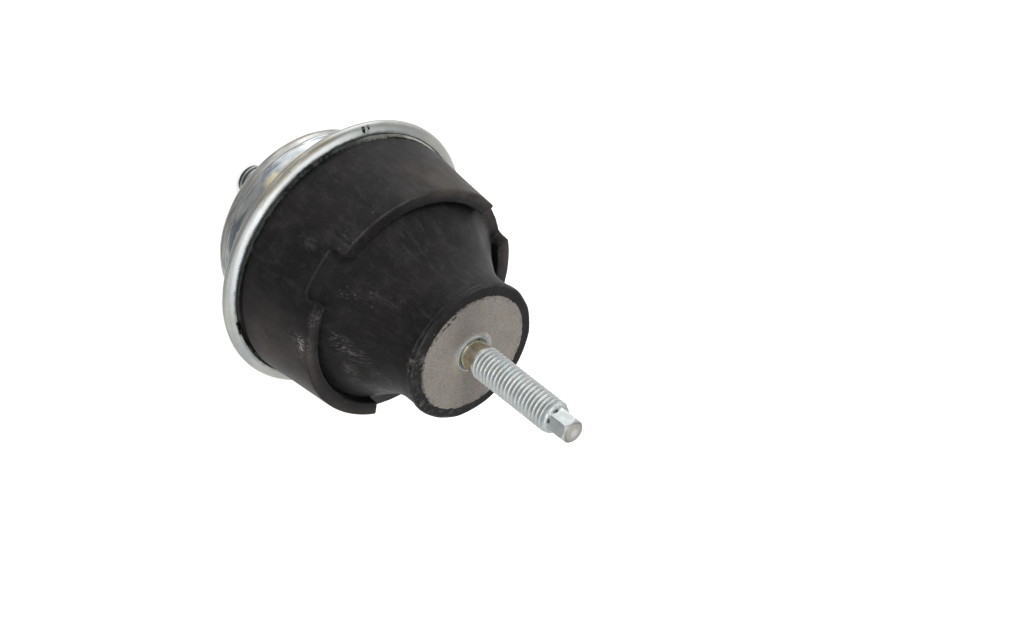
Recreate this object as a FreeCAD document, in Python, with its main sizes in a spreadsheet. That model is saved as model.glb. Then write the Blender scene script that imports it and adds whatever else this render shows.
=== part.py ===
import FreeCAD, Part
import math
import os
import Sketcher

# Fluid-filled engine mount with a stud at each end.
# The origin lies on the mount's axis, in the plane of the can's seat.
# +Z runs along the axis to the engine stud, and +X through the middle of one notch.

SIZES = {
    # Pressed steel can, from the rim inwards
    "can_gauge": 1.2,
    "can_bend": 0.9,
    "can_base_bend": 4.2,
    "rim_height": 20.8,
    "rim_radius": 43.75,
    "rim_fold_share": 0.39,
    "lip_width": 3.55,
    "flange_width": 8.75,
    "shelf_land": 0.8,
    # Stack clamped between the can's shelf and the rim
    "bellows_bead": 1.4,
    "plate_thickness": 2.9,
    "seal_thickness": 0.8,
    "seal_width": 5.2,
    "seat_clearance": 0.2,
    # Steel ring bonded into the spring's foot
    "ring_gauge": 1.8,
    "ring_set_in": 5.0,
    "ring_draft": 1.8,
    "ring_cover": 6.8,
    "ring_clearance": 0.05,
    # Rubber spring: outer wall, flank and neck
    "wall_rise": 24.6,
    "face_round": 0.9,
    "bead_width": 0.4,
    "bead_height": 1.6,
    "bead_end": 3.4,
    "neck_cover": 2.8,
    "neck_length": 7.0,
    "neck_sweep": 25.0,
    "flank_lean": 32.3,
    # Rubber spring: crown, foot and chamber
    "crown_rise": 4.7,
    "crown_wall": 4.2,
    "crown_draft": 2.6,
    "crown_round": 0.7,
    "foot_play": 0.2,
    "notch_width": 15.6,
    "notch_count": 3,
    "chamber_skirt": 5.0,
    "chamber_roof_radius": 12.0,
    "core_cover": 4.0,
    # Metal core in the neck
    "core_radius": 18.6,
    "core_straight": 16.0,
    "core_length": 33.0,
    "core_nose_radius": 11.0,
    "core_nose_round": 3.0,
    "core_bore_spare": 4.0,
    # Engine stud
    "stud_radius": 5.0,
    "stud_grip": 20.0,
    "stud_lead": 0.8,
    "collar_lap": 1.0,
    "collar_depth": 1.5,
    "collar_proud": 0.6,
    "plain_relief": 0.45,
    "plain_end": 4.9,
    "thread_length": 31.6,
    "taper_length": 1.7,
    "drive_width": 7.0,
    "drive_length": 7.3,
    "drive_tip_bevel": 0.6,
    "drive_tip_taper": 1.7,
    "drive_turn": -12.5,
    # Body stud
    "body_stud_length": 26.0,
    "body_stud_chamfer": 1.2,
    "body_knurl_height": 0.5,
    "body_head_lap": 4.5,
    "body_head_height": 2.6,
    # Fluid channel and membrane cage in the two plates, from the can's wall inwards
    "channel_set_in": 0.3,
    "channel_width": 5.0,
    "channel_depth": 1.9,
    "channel_sweep": 300.0,
    "port_sweep": 14.0,
    "cage_wall": 3.5,
    "cage_depth": 1.35,
    "cage_hole_radius": 1.8,
    "cage_hole_share": 0.66,
    "cage_hole_count": 8,
    "membrane_play": 0.25,
    "membrane_web": 1.2,
    "membrane_rim": 3.0,
    # Rubber bellows
    "bellows_wall": 1.0,
    "bellows_gap": 1.4,
    "bellows_head_room": 2.6,
    "bellows_fold_width": 11.6,
    "bellows_round": 0.6,
}
FULL_TURN = 360
HEXAGON = 6

doc = FreeCAD.newDocument("engine_mount")
sheet = doc.addObject("Spreadsheet::Sheet", "Sizes")
for row, (alias, value) in enumerate(SIZES.items(), start=1):
    sheet.set(f"A{row}", alias)
    sheet.set(f"B{row}", str(value))
    sheet.setAlias(f"B{row}", alias)
doc.recompute()


class Length:
    """A number together with the formula in the sheet's names that gives it."""

    def __init__(self, text, value):
        self.text = text
        self.value = value

    def __add__(self, other):
        other = as_length(other)
        return Length(f"({self.text} + {other.text})", self.value + other.value)

    def __sub__(self, other):
        other = as_length(other)
        return Length(f"({self.text} - {other.text})", self.value - other.value)

    def __mul__(self, other):
        other = as_length(other)
        return Length(f"({self.text} * {other.text})", self.value * other.value)

    def __truediv__(self, other):
        other = as_length(other)
        return Length(f"({self.text} / {other.text})", self.value / other.value)


def as_length(number):
    """A plain number as a Length, or the Length itself."""
    if isinstance(number, Length):
        return number
    return Length(str(number), float(number))


def size(alias):
    """The named size of the sheet."""
    return Length(f"Sizes.{alias}", float(sheet.get(alias)))


def sine(angle):
    """The sine of an angle in degrees."""
    return Length(f"sin({angle.text} * 1 deg)", math.sin(math.radians(angle.value)))


def cosine(angle):
    """The cosine of an angle in degrees."""
    return Length(f"cos({angle.text} * 1 deg)", math.cos(math.radians(angle.value)))


ZERO = as_length(0)

# Heights that several pieces share, counted up from the seat
can_gauge = size("can_gauge")
rim_under = size("rim_height")
ring_bottom = rim_under + can_gauge
ring_top = ring_bottom + size("ring_gauge")
rim_top = ring_top + can_gauge
plate_top = ring_bottom - size("seal_thickness")
plate_split = plate_top - size("plate_thickness")
plate_bottom = plate_split - size("plate_thickness")
shelf_top = plate_bottom - size("bellows_bead")
shelf_under = shelf_top - can_gauge
head_top = can_gauge + size("body_head_height")
shoulder = rim_top + size("wall_rise")
crown_top = shoulder + size("crown_rise")
sleeve_top = shoulder - size("ring_cover")

# Bends: a sheet's outer bend is its inner one and the gauge, and the rim folds round the ring's edge
outer_bend = size("can_bend") + can_gauge
ring_edge = size("ring_gauge") * size("rim_fold_share")
rim_fold = ring_edge + can_gauge

# Radii that several pieces share, from the rim inwards
rim = size("rim_radius")
rim_bore = rim - can_gauge
lip = rim - size("lip_width")
shelf_wall = rim - size("flange_width")
shelf_bore = shelf_wall - can_gauge
can_wall = shelf_wall - outer_bend - size("shelf_land") - size("can_bend")
can_bore = can_wall - can_gauge
plate_radius = shelf_bore - size("seat_clearance")
seal_radius = plate_radius - size("seal_width")
foot_radius = lip - size("foot_play")
crown_radius = foot_radius - size("crown_draft")
crown_bore = crown_radius - size("crown_wall")
stud = size("stud_radius")
collar = stud + size("collar_lap")
knurl = stud + size("body_knurl_height")

# The flank rises from the groove behind the crown, and the neck's sweep takes it up as a tangent
sleeve_foot = lip - size("ring_set_in")
neck = size("core_radius") + size("neck_cover")
sweep_foot = neck + size("neck_sweep") * (as_length(1) - cosine(size("flank_lean")))
flank_rise = (crown_bore - sweep_foot) * cosine(size("flank_lean")) / sine(size("flank_lean"))
flank_top = shoulder + flank_rise
sweep_top = flank_top + size("neck_sweep") * sine(size("flank_lean"))
face = sweep_top + size("neck_length")
core_bottom = face - size("core_length")

# The channel, the cage and the bellows fit one inside the other, from the can's wall inwards
bellows_outside = can_bore - size("bellows_gap")
bellows_side = bellows_outside - size("bellows_wall")
channel_outside = bellows_side - size("channel_set_in")
channel_inside = channel_outside - size("channel_width")
cage = channel_inside - size("cage_wall")


def new_body(label):
    """An empty body for one piece of the mount."""
    body = doc.addObject("PartDesign::Body", label)
    body.Label = label
    body.Placement = FreeCAD.Placement()
    return body


def origin_feature(body, role):
    """The body's own origin plane or axis with this role."""
    return next(item for item in body.Origin.OriginFeatures if item.Role == role)


def new_sketch(body, name, plane="XZ_Plane"):
    """A sketch on one of the body's origin planes."""
    sketch = body.newObject("Sketcher::SketchObject", name)
    sketch.AttachmentSupport = [(origin_feature(body, plane), "")]
    sketch.MapMode = "FlatFace"
    return sketch


def bind_constraint(sketch, kind, geometry, length):
    """A dimension of the sketch that follows a Length."""
    index = sketch.addConstraint(Sketcher.Constraint(kind, *geometry, length.value))
    sketch.setExpression(f"Constraints[{index}]", length.text)


def fix_point(sketch, geometry, end, across, up):
    """Places one end of a line by its two coordinates."""
    if across.value == 0:
        sketch.addConstraint(Sketcher.Constraint("PointOnObject", geometry, end, -2))
    else:
        bind_constraint(sketch, "DistanceX", (-1, 1, geometry, end), across)
    if up.value == 0:
        sketch.addConstraint(Sketcher.Constraint("PointOnObject", geometry, end, -1))
    else:
        bind_constraint(sketch, "DistanceY", (-1, 1, geometry, end), up)


def draw_outline(sketch, corners):
    """A closed outline of straight edges through corners given as (radius, height)."""
    places = [FreeCAD.Vector(across.value, up.value, 0) for across, up in corners]
    count = len(corners)
    for index in range(count):
        sketch.addGeometry(Part.LineSegment(places[index], places[(index + 1) % count]), False)
    for index in range(count):
        following = (index + 1) % count
        sketch.addConstraint(Sketcher.Constraint("Coincident", index, 2, following, 1))
    for index, (across, up) in enumerate(corners):
        fix_point(sketch, index, 1, across, up)


def revolve(body, name, corners):
    """A solid turned about the mount's axis from an outline."""
    sketch = new_sketch(body, f"{name}_outline")
    draw_outline(sketch, corners)
    return turn_sketch(body, name, sketch)


def turn_sketch(body, name, sketch):
    """A solid turned about the mount's axis from a sketch."""
    feature = body.newObject("PartDesign::Revolution", name)
    feature.Profile = sketch
    feature.ReferenceAxis = (sketch, ["V_Axis"])
    feature.Angle = FULL_TURN
    sketch.Visibility = False
    body.Tip = feature
    doc.recompute()
    return feature


def turned_cut(body, name, corners, sweep=None, start=None):
    """A groove cut about the mount's axis, all the way round or over part of a turn."""
    sketch = new_sketch(body, f"{name}_outline")
    draw_outline(sketch, corners)
    if start is not None:
        turn = FreeCAD.Rotation(FreeCAD.Vector(0, 1, 0), start.value)
        sketch.AttachmentOffset = FreeCAD.Placement(FreeCAD.Vector(), turn)
        sketch.setExpression("AttachmentOffset.Rotation.Angle", start.text)
    doc.recompute()
    before = body.Tip.Shape.Volume
    feature = body.newObject("PartDesign::Groove", name)
    feature.Profile = sketch
    feature.ReferenceAxis = (sketch, ["V_Axis"])
    feature.Angle = FULL_TURN
    if sweep is not None:
        feature.setExpression("Angle", sweep.text)
    sketch.Visibility = False
    body.Tip = feature
    doc.recompute()
    check_cut(name, before, feature)
    return feature


def pocket_up(body, name, sketch, height=None):
    """A pocket cut upwards from a sketch, to a height or all the way."""
    doc.recompute()
    before = body.Tip.Shape.Volume
    feature = body.newObject("PartDesign::Pocket", name)
    feature.Profile = sketch
    feature.Reversed = True
    if height is None:
        feature.Type = "ThroughAll"
    else:
        feature.setExpression("Length", height.text)
    sketch.Visibility = False
    body.Tip = feature
    doc.recompute()
    check_cut(name, before, feature)
    return feature


def check_cut(name, before, feature):
    """Stops the build where a cut takes nothing away."""
    if not feature.Shape.Volume < before - 1e-3:
        raise RuntimeError(f"{name} cuts nothing")


def repeat_round(body, name, feature, count):
    """Copies of a feature spaced evenly about the mount's axis."""
    pattern = body.newObject("PartDesign::PolarPattern", name)
    pattern.Originals = [feature]
    pattern.Axis = (origin_feature(body, "Z_Axis"), [""])
    pattern.Angle = FULL_TURN
    pattern.Occurrences = round(count.value)
    pattern.setExpression("Occurrences", count.text)
    body.Tip = pattern
    doc.recompute()
    return pattern


def ring_edges(feature, places):
    """Names of the feature's full circles at places given as (radius, height)."""
    names = []
    for radius, height in places:
        for index, edge in enumerate(feature.Shape.Edges, start=1):
            curve = edge.Curve
            if not isinstance(curve, Part.Circle):
                continue
            near = abs(curve.Radius - radius.value) < 1e-4
            level = abs(curve.Center.z - height.value) < 1e-4
            if near and level:
                names.append(f"Edge{index}")
    return names


def round_edges(body, name, radius, names):
    """A rounding of the named edges of the body's last feature."""
    base = body.Tip
    feature = body.newObject("PartDesign::Fillet", name)
    feature.Base = (base, names)
    feature.Radius = radius.value
    feature.setExpression("Radius", radius.text)
    body.Tip = feature
    doc.recompute()
    return feature


def round_rings(body, name, radius, places):
    """A rounding of the full circles at these places."""
    return round_edges(body, name, radius, ring_edges(body.Tip, places))


def make_mount_can():
    """Pressed can: base, wall, shelf, flange and the lip folded over the clamped stack."""
    body = new_body("mount_can")
    revolve(body, "can_sheet", [
        (knurl, ZERO), (can_wall, ZERO), (can_wall, shelf_under), (shelf_wall, shelf_under),
        (shelf_wall, rim_under), (rim, rim_under), (rim, rim_top), (lip, rim_top),
        (lip, ring_top), (rim_bore, ring_top), (rim_bore, ring_bottom),
        (shelf_bore, ring_bottom), (shelf_bore, shelf_top), (can_bore, shelf_top),
        (can_bore, can_gauge), (knurl, can_gauge),
    ])
    round_rings(body, "base_corner", size("can_base_bend"), [(can_wall, ZERO)])
    round_rings(body, "base_corner_inside", size("can_base_bend") - can_gauge, [(can_bore, can_gauge)])
    round_rings(body, "tight_bends", size("can_bend"), [
        (can_wall, shelf_under), (shelf_wall, rim_under), (shelf_bore, shelf_top)])
    round_rings(body, "wide_bends", outer_bend, [
        (shelf_wall, shelf_under), (can_bore, shelf_top), (shelf_bore, ring_bottom)])
    round_rings(body, "rim_outside", rim_fold, [(rim, rim_under), (rim, rim_top)])
    round_rings(body, "rim_inside", ring_edge, [(rim_bore, ring_top), (rim_bore, ring_bottom)])
    return body


def make_body_stud():
    """Stud pressed through the can's base, with its head inside the can."""
    body = new_body("body_stud")
    chamfer = size("body_stud_chamfer")
    end = ZERO - size("body_stud_length")
    head = knurl + size("body_head_lap")
    revolve(body, "stud_blank", [
        (ZERO, end), (stud - chamfer, end), (stud, end + chamfer), (stud, ZERO),
        (knurl, ZERO), (knurl, can_gauge), (head, can_gauge), (head, head_top), (ZERO, head_top),
    ])
    return body


def sleeve_bore(height):
    """Inner radius of the bonded ring at a height: it draws in evenly from its foot to its top."""
    return sleeve_foot - size("ring_draft") * (height - ring_bottom) / (sleeve_top - ring_bottom)


def make_outer_ring():
    """Steel ring: a flange for the can's rim and a tapered sleeve inside the rubber."""
    body = new_body("outer_ring")
    gauge = size("ring_gauge")
    flange = rim_bore - size("ring_clearance")
    revolve(body, "ring_sheet", [
        (sleeve_bore(ring_bottom), ring_bottom), (flange, ring_bottom), (flange, ring_top),
        (sleeve_bore(ring_top) + gauge, ring_top), (sleeve_bore(sleeve_top) + gauge, sleeve_top),
        (sleeve_bore(sleeve_top), sleeve_top),
    ])
    round_rings(body, "flange_edge", ring_edge, [(flange, ring_bottom), (flange, ring_top)])
    return body


def draw_spring(sketch):
    """The spring's section, with the neck's sweep as an arc tangent to the neck and the flank."""
    gauge = size("ring_gauge")
    sweep = size("neck_sweep")
    core = size("core_radius")
    brim = neck + size("bead_width")
    chamber_roof = core_bottom - size("core_cover")
    corners = [
        (crown_bore, shoulder), (crown_bore, crown_top),
        (crown_radius, crown_top), (foot_radius, rim_top), (foot_radius, ring_top),
        (sleeve_bore(ring_top) + gauge, ring_top), (sleeve_bore(sleeve_top) + gauge, sleeve_top),
        (sleeve_bore(sleeve_top), sleeve_top), (sleeve_bore(ring_bottom), ring_bottom),
        (plate_radius, ring_bottom), (plate_radius, plate_top), (seal_radius, plate_top),
        (seal_radius, plate_top + size("chamber_skirt")), (size("chamber_roof_radius"), chamber_roof),
        (ZERO, chamber_roof), (ZERO, core_bottom), (size("core_nose_radius"), core_bottom),
        (core, face - size("core_straight")), (core, face), (brim, face),
        (brim, face - size("bead_height")), (neck, face - size("bead_end")), (neck, sweep_top),
    ]
    places = [FreeCAD.Vector(across.value, up.value, 0) for across, up in corners]
    last = len(corners) - 1
    for index in range(last):
        sketch.addGeometry(Part.LineSegment(places[index], places[index + 1]), False)
    middle = FreeCAD.Vector(neck.value + sweep.value, sweep_top.value, 0)
    circle = Part.Circle(middle, FreeCAD.Vector(0, 0, 1), sweep.value)
    lean = math.radians(size("flank_lean").value)
    arc = sketch.addGeometry(Part.ArcOfCircle(circle, math.pi, math.pi + lean), False)
    sweep_end = FreeCAD.Vector(sweep_foot.value, flank_top.value, 0)
    flank = sketch.addGeometry(Part.LineSegment(sweep_end, places[0]), False)
    for index in range(last - 1):
        sketch.addConstraint(Sketcher.Constraint("Coincident", index, 2, index + 1, 1))
    for index, (across, up) in enumerate(corners[:-1]):
        fix_point(sketch, index, 1, across, up)
    fix_point(sketch, last - 1, 2, *corners[-1])
    sketch.addConstraint(Sketcher.Constraint("Tangent", last - 1, 2, arc, 1))
    sketch.addConstraint(Sketcher.Constraint("Tangent", arc, 2, flank, 1))
    sketch.addConstraint(Sketcher.Constraint("Coincident", flank, 2, 0, 1))
    bind_constraint(sketch, "Radius", (arc,), sweep)


def make_rubber_spring():
    """One moulding: neck, conical spring, seal, foot and the notched crown round the neck."""
    body = new_body("rubber_spring")
    sketch = new_sketch(body, "spring_section")
    draw_spring(sketch)
    turn_sketch(body, "spring_moulding", sketch)
    nose = [(size("core_nose_radius"), core_bottom)]
    round_rings(body, "core_seat_round", size("core_nose_round"), nose)
    round_rings(body, "face_edge", size("face_round"), [(neck + size("bead_width"), face)])
    crown_edges = [(crown_bore, crown_top), (crown_radius, crown_top)]
    round_rings(body, "crown_edges", size("crown_round"), crown_edges)

    notch = new_sketch(body, "notch_outline", "XY_Plane")
    notch.AttachmentOffset = FreeCAD.Placement(FreeCAD.Vector(0, 0, shoulder.value), FreeCAD.Rotation())
    notch.setExpression("AttachmentOffset.Base.z", shoulder.text)
    draw_notch(notch)
    cut = pocket_up(body, "notch", notch)
    repeat_round(body, "notches", cut, size("notch_count"))
    return body


def draw_notch(sketch):
    """Plan of one notch: two parallel sides between the crown's bore and beyond its outside."""
    half = size("notch_width") / 2
    arcs = []
    for radius in (crown_bore, rim):
        circle = Part.Circle(FreeCAD.Vector(), FreeCAD.Vector(0, 0, 1), radius.value)
        angle = math.asin(half.value / radius.value)
        arcs.append(sketch.addGeometry(Part.ArcOfCircle(circle, -angle, angle), False))
        sketch.addConstraint(Sketcher.Constraint("Coincident", arcs[-1], 3, -1, 1))
        bind_constraint(sketch, "Radius", (arcs[-1],), radius)
    for end, side in ((1, -1), (2, 1)):
        height = half.value * side
        start = FreeCAD.Vector(math.sqrt(crown_bore.value ** 2 - height ** 2), height, 0)
        stop = FreeCAD.Vector(math.sqrt(rim.value ** 2 - height ** 2), height, 0)
        line = sketch.addGeometry(Part.LineSegment(start, stop), False)
        sketch.addConstraint(Sketcher.Constraint("Coincident", line, 1, arcs[0], end))
        sketch.addConstraint(Sketcher.Constraint("Coincident", line, 2, arcs[1], end))
        sketch.addConstraint(Sketcher.Constraint("Horizontal", line))
        bind_constraint(sketch, "DistanceY", (-1, 1, line, 1), half * side)


def make_core_insert():
    """Metal core of the neck: the bare face at its top, a tapered nose and a bore for the stud."""
    body = new_body("core_insert")
    core = size("core_radius")
    nose = size("core_nose_radius")
    collar_seat = face - size("collar_depth")
    bore_bottom = face - size("stud_grip") - size("core_bore_spare")
    revolve(body, "core_blank", [
        (ZERO, core_bottom), (nose, core_bottom), (core, face - size("core_straight")), (core, face),
        (collar, face), (collar, collar_seat), (stud, collar_seat), (stud, bore_bottom),
        (ZERO, bore_bottom - stud / 2),
    ])
    round_rings(body, "core_nose", size("core_nose_round"), [(nose, core_bottom)])
    return body


def make_engine_stud():
    """Stud in the core: grip, collar, plain neck, thread, taper and a hexagon to drive it."""
    body = new_body("engine_stud")
    lead = size("stud_lead")
    plain = stud - size("plain_relief")
    flat = size("drive_width") / 2
    corner = size("drive_width") / math.sqrt(3)
    grip_end = face - size("stud_grip")
    collar_seat = face - size("collar_depth")
    collar_top = face + size("collar_proud")
    thread_start = face + size("plain_end")
    thread_end = thread_start + size("thread_length")
    end = thread_end + size("drive_length")
    revolve(body, "stud_blank", [
        (ZERO, grip_end), (stud - lead, grip_end), (stud, grip_end + lead), (stud, collar_seat),
        (collar, collar_seat), (collar, collar_top), (plain, collar_top), (plain, thread_start),
        (stud, thread_start + size("plain_relief")), (stud, thread_end),
        (flat, thread_end + size("taper_length")), (ZERO, thread_end + size("taper_length")),
    ])
    drive = body.newObject("PartDesign::AdditivePrism", "drive_hexagon")
    drive.Polygon = HEXAGON
    drive.AttachmentSupport = [(origin_feature(body, "XY_Plane"), "")]
    drive.MapMode = "FlatFace"
    turn = FreeCAD.Rotation(FreeCAD.Vector(0, 0, 1), size("drive_turn").value)
    drive.AttachmentOffset = FreeCAD.Placement(FreeCAD.Vector(0, 0, thread_end.value), turn)
    drive.setExpression("AttachmentOffset.Base.z", thread_end.text)
    drive.setExpression("AttachmentOffset.Rotation.Angle", size("drive_turn").text)
    drive.setExpression("Circumradius", corner.text)
    drive.setExpression("Height", size("drive_length").text)
    body.Tip = drive
    doc.recompute()
    # The tip's bevel is cut past the hexagon's corners, along the same slope
    bevel = size("drive_tip_bevel")
    turned_cut(body, "drive_tip", [
        (corner - bevel, end), (corner + bevel, end), (corner + bevel, end - size("drive_tip_taper") * 2)])
    return body


def make_channel_plate(label, outer_face, port_start):
    """Half of the fluid channel and of the membrane's cage, open towards the other plate."""
    body = new_body(label)
    facing = 1 if outer_face.value > plate_split.value else -1
    revolve(body, "plate_disc", [
        (ZERO, plate_split), (plate_radius, plate_split), (plate_radius, outer_face), (ZERO, outer_face)])
    cage_floor = plate_split + size("cage_depth") * facing
    channel_floor = plate_split + size("channel_depth") * facing
    turned_cut(body, "cage", [
        (ZERO, plate_split), (cage, plate_split), (cage, cage_floor), (ZERO, cage_floor)])
    turned_cut(body, "channel", [
        (channel_inside, plate_split), (channel_outside, plate_split),
        (channel_outside, channel_floor), (channel_inside, channel_floor),
    ], sweep=size("channel_sweep"))
    turned_cut(body, "port", [
        (channel_inside, plate_split), (channel_outside, plate_split),
        (channel_outside, outer_face), (channel_inside, outer_face),
    ], sweep=size("port_sweep"), start=port_start)
    holes = new_sketch(body, "cage_hole_outline", "XY_Plane")
    hole_circle = cage * size("cage_hole_share")
    middle = FreeCAD.Vector(hole_circle.value, 0, 0)
    holes.addGeometry(Part.Circle(middle, FreeCAD.Vector(0, 0, 1), size("cage_hole_radius").value), False)
    holes.addConstraint(Sketcher.Constraint("PointOnObject", 0, 3, -1))
    bind_constraint(holes, "DistanceX", (-1, 1, 0, 3), hole_circle)
    bind_constraint(holes, "Radius", (0,), size("cage_hole_radius"))
    cut = pocket_up(body, "cage_hole", holes)
    repeat_round(body, "cage_holes", cut, size("cage_hole_count"))
    return body


def make_decoupler_membrane():
    """Rubber disc in the cage: its thick rim is held between the plates and its web is free."""
    body = new_body("decoupler_membrane")
    outer = cage - size("membrane_play")
    inner = outer - size("membrane_rim")
    rim_half = size("cage_depth")
    web_half = size("membrane_web") / 2
    revolve(body, "membrane_disc", [
        (ZERO, plate_split - web_half), (inner, plate_split - web_half), (inner, plate_split - rim_half),
        (outer, plate_split - rim_half), (outer, plate_split + rim_half), (inner, plate_split + rim_half),
        (inner, plate_split + web_half), (ZERO, plate_split + web_half),
    ])
    return body


def make_bellows_diaphragm():
    """Rubber bellows under the plates, its bead clamped on the can's shelf."""
    body = new_body("bellows_diaphragm")
    wall = size("bellows_wall")
    fold = bellows_side - size("bellows_fold_width")
    bottom = head_top + size("bellows_head_room")
    centre = (bottom + plate_bottom) / 2
    revolve(body, "bellows_sheet", [
        (plate_radius, shelf_top), (bellows_outside, shelf_top), (bellows_outside, bottom), (fold, bottom),
        (fold, centre), (ZERO, centre), (ZERO, centre + wall), (fold + wall, centre + wall),
        (fold + wall, bottom + wall), (bellows_side, bottom + wall), (bellows_side, plate_bottom),
        (plate_radius, plate_bottom),
    ])
    tight = size("bellows_round")
    round_rings(body, "bead_corner", size("can_bend"), [(plate_radius, shelf_top)])
    round_rings(body, "tight_folds", tight, [
        (bellows_side, bottom + wall), (fold + wall, bottom + wall), (fold, centre)])
    round_rings(body, "wide_folds", tight + wall, [
        (bellows_outside, bottom), (fold, bottom), (fold + wall, centre + wall)])
    return body


pieces = [
    make_mount_can(),
    make_body_stud(),
    make_outer_ring(),
    make_rubber_spring(),
    make_core_insert(),
    make_engine_stud(),
    make_channel_plate("upper_channel_plate", plate_top, ZERO),
    make_channel_plate("lower_channel_plate", plate_bottom, size("channel_sweep") - size("port_sweep")),
    make_decoupler_membrane(),
    make_bellows_diaphragm(),
]
doc.recompute()

for item in doc.Objects:
    if "Invalid" in item.State or "Error" in item.State:
        raise RuntimeError(f"{item.Label} did not build: {item.State}")
for piece in pieces:
    if piece.Shape.isNull() or not piece.Shape.isValid() or len(piece.Shape.Solids) != 1:
        raise RuntimeError(f"{piece.Label} is not one sound solid")

os.makedirs("parts", exist_ok=True)
for piece in pieces:
    piece.Shape.exportStep(f"parts/{piece.Label}.step")
    box = piece.Shape.BoundBox
    print(f"{piece.Label}: {piece.Shape.Volume:.0f} mm3, Z {box.ZMin:.2f} to {box.ZMax:.2f}")
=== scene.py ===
import math

import bmesh
import bpy
from mathutils import Matrix, Vector, noise


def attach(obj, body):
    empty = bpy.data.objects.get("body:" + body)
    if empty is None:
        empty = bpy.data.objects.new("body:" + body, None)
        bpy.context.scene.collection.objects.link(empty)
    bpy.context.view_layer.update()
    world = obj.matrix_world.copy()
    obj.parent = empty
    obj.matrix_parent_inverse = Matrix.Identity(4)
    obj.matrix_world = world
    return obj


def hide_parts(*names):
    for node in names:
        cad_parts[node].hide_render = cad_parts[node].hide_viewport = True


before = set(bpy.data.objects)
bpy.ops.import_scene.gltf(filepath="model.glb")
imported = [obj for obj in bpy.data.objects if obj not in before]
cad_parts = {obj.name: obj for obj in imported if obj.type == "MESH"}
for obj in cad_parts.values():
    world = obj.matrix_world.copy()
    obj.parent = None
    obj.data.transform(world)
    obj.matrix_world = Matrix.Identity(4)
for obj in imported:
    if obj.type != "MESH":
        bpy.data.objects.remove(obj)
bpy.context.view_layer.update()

# An engine mount: rubber spring in a crimped steel can, with a stud at each end.
# Everything is in metres in the CAD's frame: the seat is at Z = 0 and the long stud points up.

MM = 0.001
FULL_TURN = math.tau

# Sizes that the CAD gives, in millimetres, and its two angles in degrees (LEAN and HEXAGON_TURN).
# Only THREAD_ROOT is this script's own, because the CAD's studs are plain cylinders.
FACE = 82.505
SHOULDER = 49.6
CROWN_TOP = 54.3
CROWN_BORE = 33.2
CROWN = 37.4
CROWN_ROUND = 0.7
RIM_UNDER = 20.8
NECK = 21.4
SWEEP = 25.0
SWEEP_TOP = 75.505
LEAN = 32.3
NOTCH_WIDTH = 15.6
NOTCH_COUNT = 3
THREAD = 5.0
THREAD_ROOT = 4.08
PITCH = 1.5
PLAIN_NECK = 4.55
HEXAGON = 7.0
HEXAGON_TURN = -12.5

# How steep the flank and the crown's wall are, in millimetres of height or radius for each millimetre
FLANK_SLOPE = 1.582
CROWN_TAPER = 0.0887

# Points closer than this become one
TURNED_MERGE = 0.002 * MM
THREAD_MERGE = 0.003 * MM

# Steps of one full turn
CAN_STEPS = 288
SPRING_STEPS = 252
STUD_STEPS = 96
THREAD_STEPS = 48


# Modelling helpers

def deselect_all():
    """Nothing selected and nothing active."""
    bpy.ops.object.select_all(action="DESELECT")
    bpy.context.view_layer.objects.active = None


def choose(piece):
    """This piece alone selected and active."""
    deselect_all()
    piece.select_set(True)
    bpy.context.view_layer.objects.active = piece


def close_mesh():
    """Back to object mode."""
    bpy.ops.object.mode_set(mode="OBJECT")


def start_piece(name):
    """A new piece of one point at the origin, open in edit mode, to draw an outline from."""
    deselect_all()
    bpy.ops.mesh.primitive_plane_add(size=MM)
    piece = bpy.context.object
    piece.name = name
    piece.data.name = name
    bpy.ops.object.mode_set(mode="EDIT")
    bpy.ops.mesh.select_all(action="SELECT")
    bpy.ops.mesh.merge(type="CENTER")
    return piece


def draw_outline(points):
    """Extrudes the one point through (radius, height) places, in the plane X-Z."""
    radius, height = points[0]
    bpy.ops.transform.translate(value=(radius * MM, 0, height * MM))
    for next_radius, next_height in points[1:]:
        step = ((next_radius - radius) * MM, 0, (next_height - height) * MM)
        bpy.ops.mesh.extrude_vertices_move(TRANSFORM_OT_translate={"value": step})
        radius, height = next_radius, next_height


def turned_piece(name, points, steps):
    """A piece turned about the mount's axis from its half outline."""
    piece = start_piece(name)
    draw_outline(points)
    bpy.ops.mesh.select_all(action="SELECT")
    bpy.ops.mesh.spin(steps=steps, angle=FULL_TURN, center=(0, 0, 0), axis=(0, 0, 1))
    bpy.ops.mesh.select_all(action="SELECT")
    bpy.ops.mesh.remove_doubles(threshold=TURNED_MERGE)
    bpy.ops.mesh.normals_make_consistent(inside=False)
    close_mesh()
    return piece


def arc(centre, radius, start, stop, steps):
    """Places along an arc of the half outline, angles in degrees from outwards to upwards."""
    places = []
    for step in range(steps + 1):
        angle = math.radians(start + (stop - start) * step / steps)
        places.append((centre[0] + radius * math.cos(angle), centre[1] + radius * math.sin(angle)))
    return places


def finely(points, spacing):
    """The same outline with its long straight runs divided."""
    places = [points[0]]
    for point in points[1:]:
        last = places[-1]
        run = math.dist(last, point)
        parts = max(1, math.ceil(run / spacing))
        for part in range(1, parts + 1):
            share = part / parts
            places.append((last[0] + (point[0] - last[0]) * share, last[1] + (point[1] - last[1]) * share))
    return places


def apply_modifier(piece, kind, **settings):
    """Adds one modifier, sets it and applies it."""
    choose(piece)
    modifier = piece.modifiers.new(kind.lower(), kind)
    for setting, value in settings.items():
        setattr(modifier, setting, value)
    bpy.ops.object.modifier_apply(modifier=modifier.name)


def combine(piece, tool, operation):
    """Cuts, joins or keeps what the tool covers, and takes the tool away."""
    apply_modifier(piece, "BOOLEAN", object=tool, operation=operation, solver="EXACT")
    bpy.data.objects.remove(tool, do_unlink=True)


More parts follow.
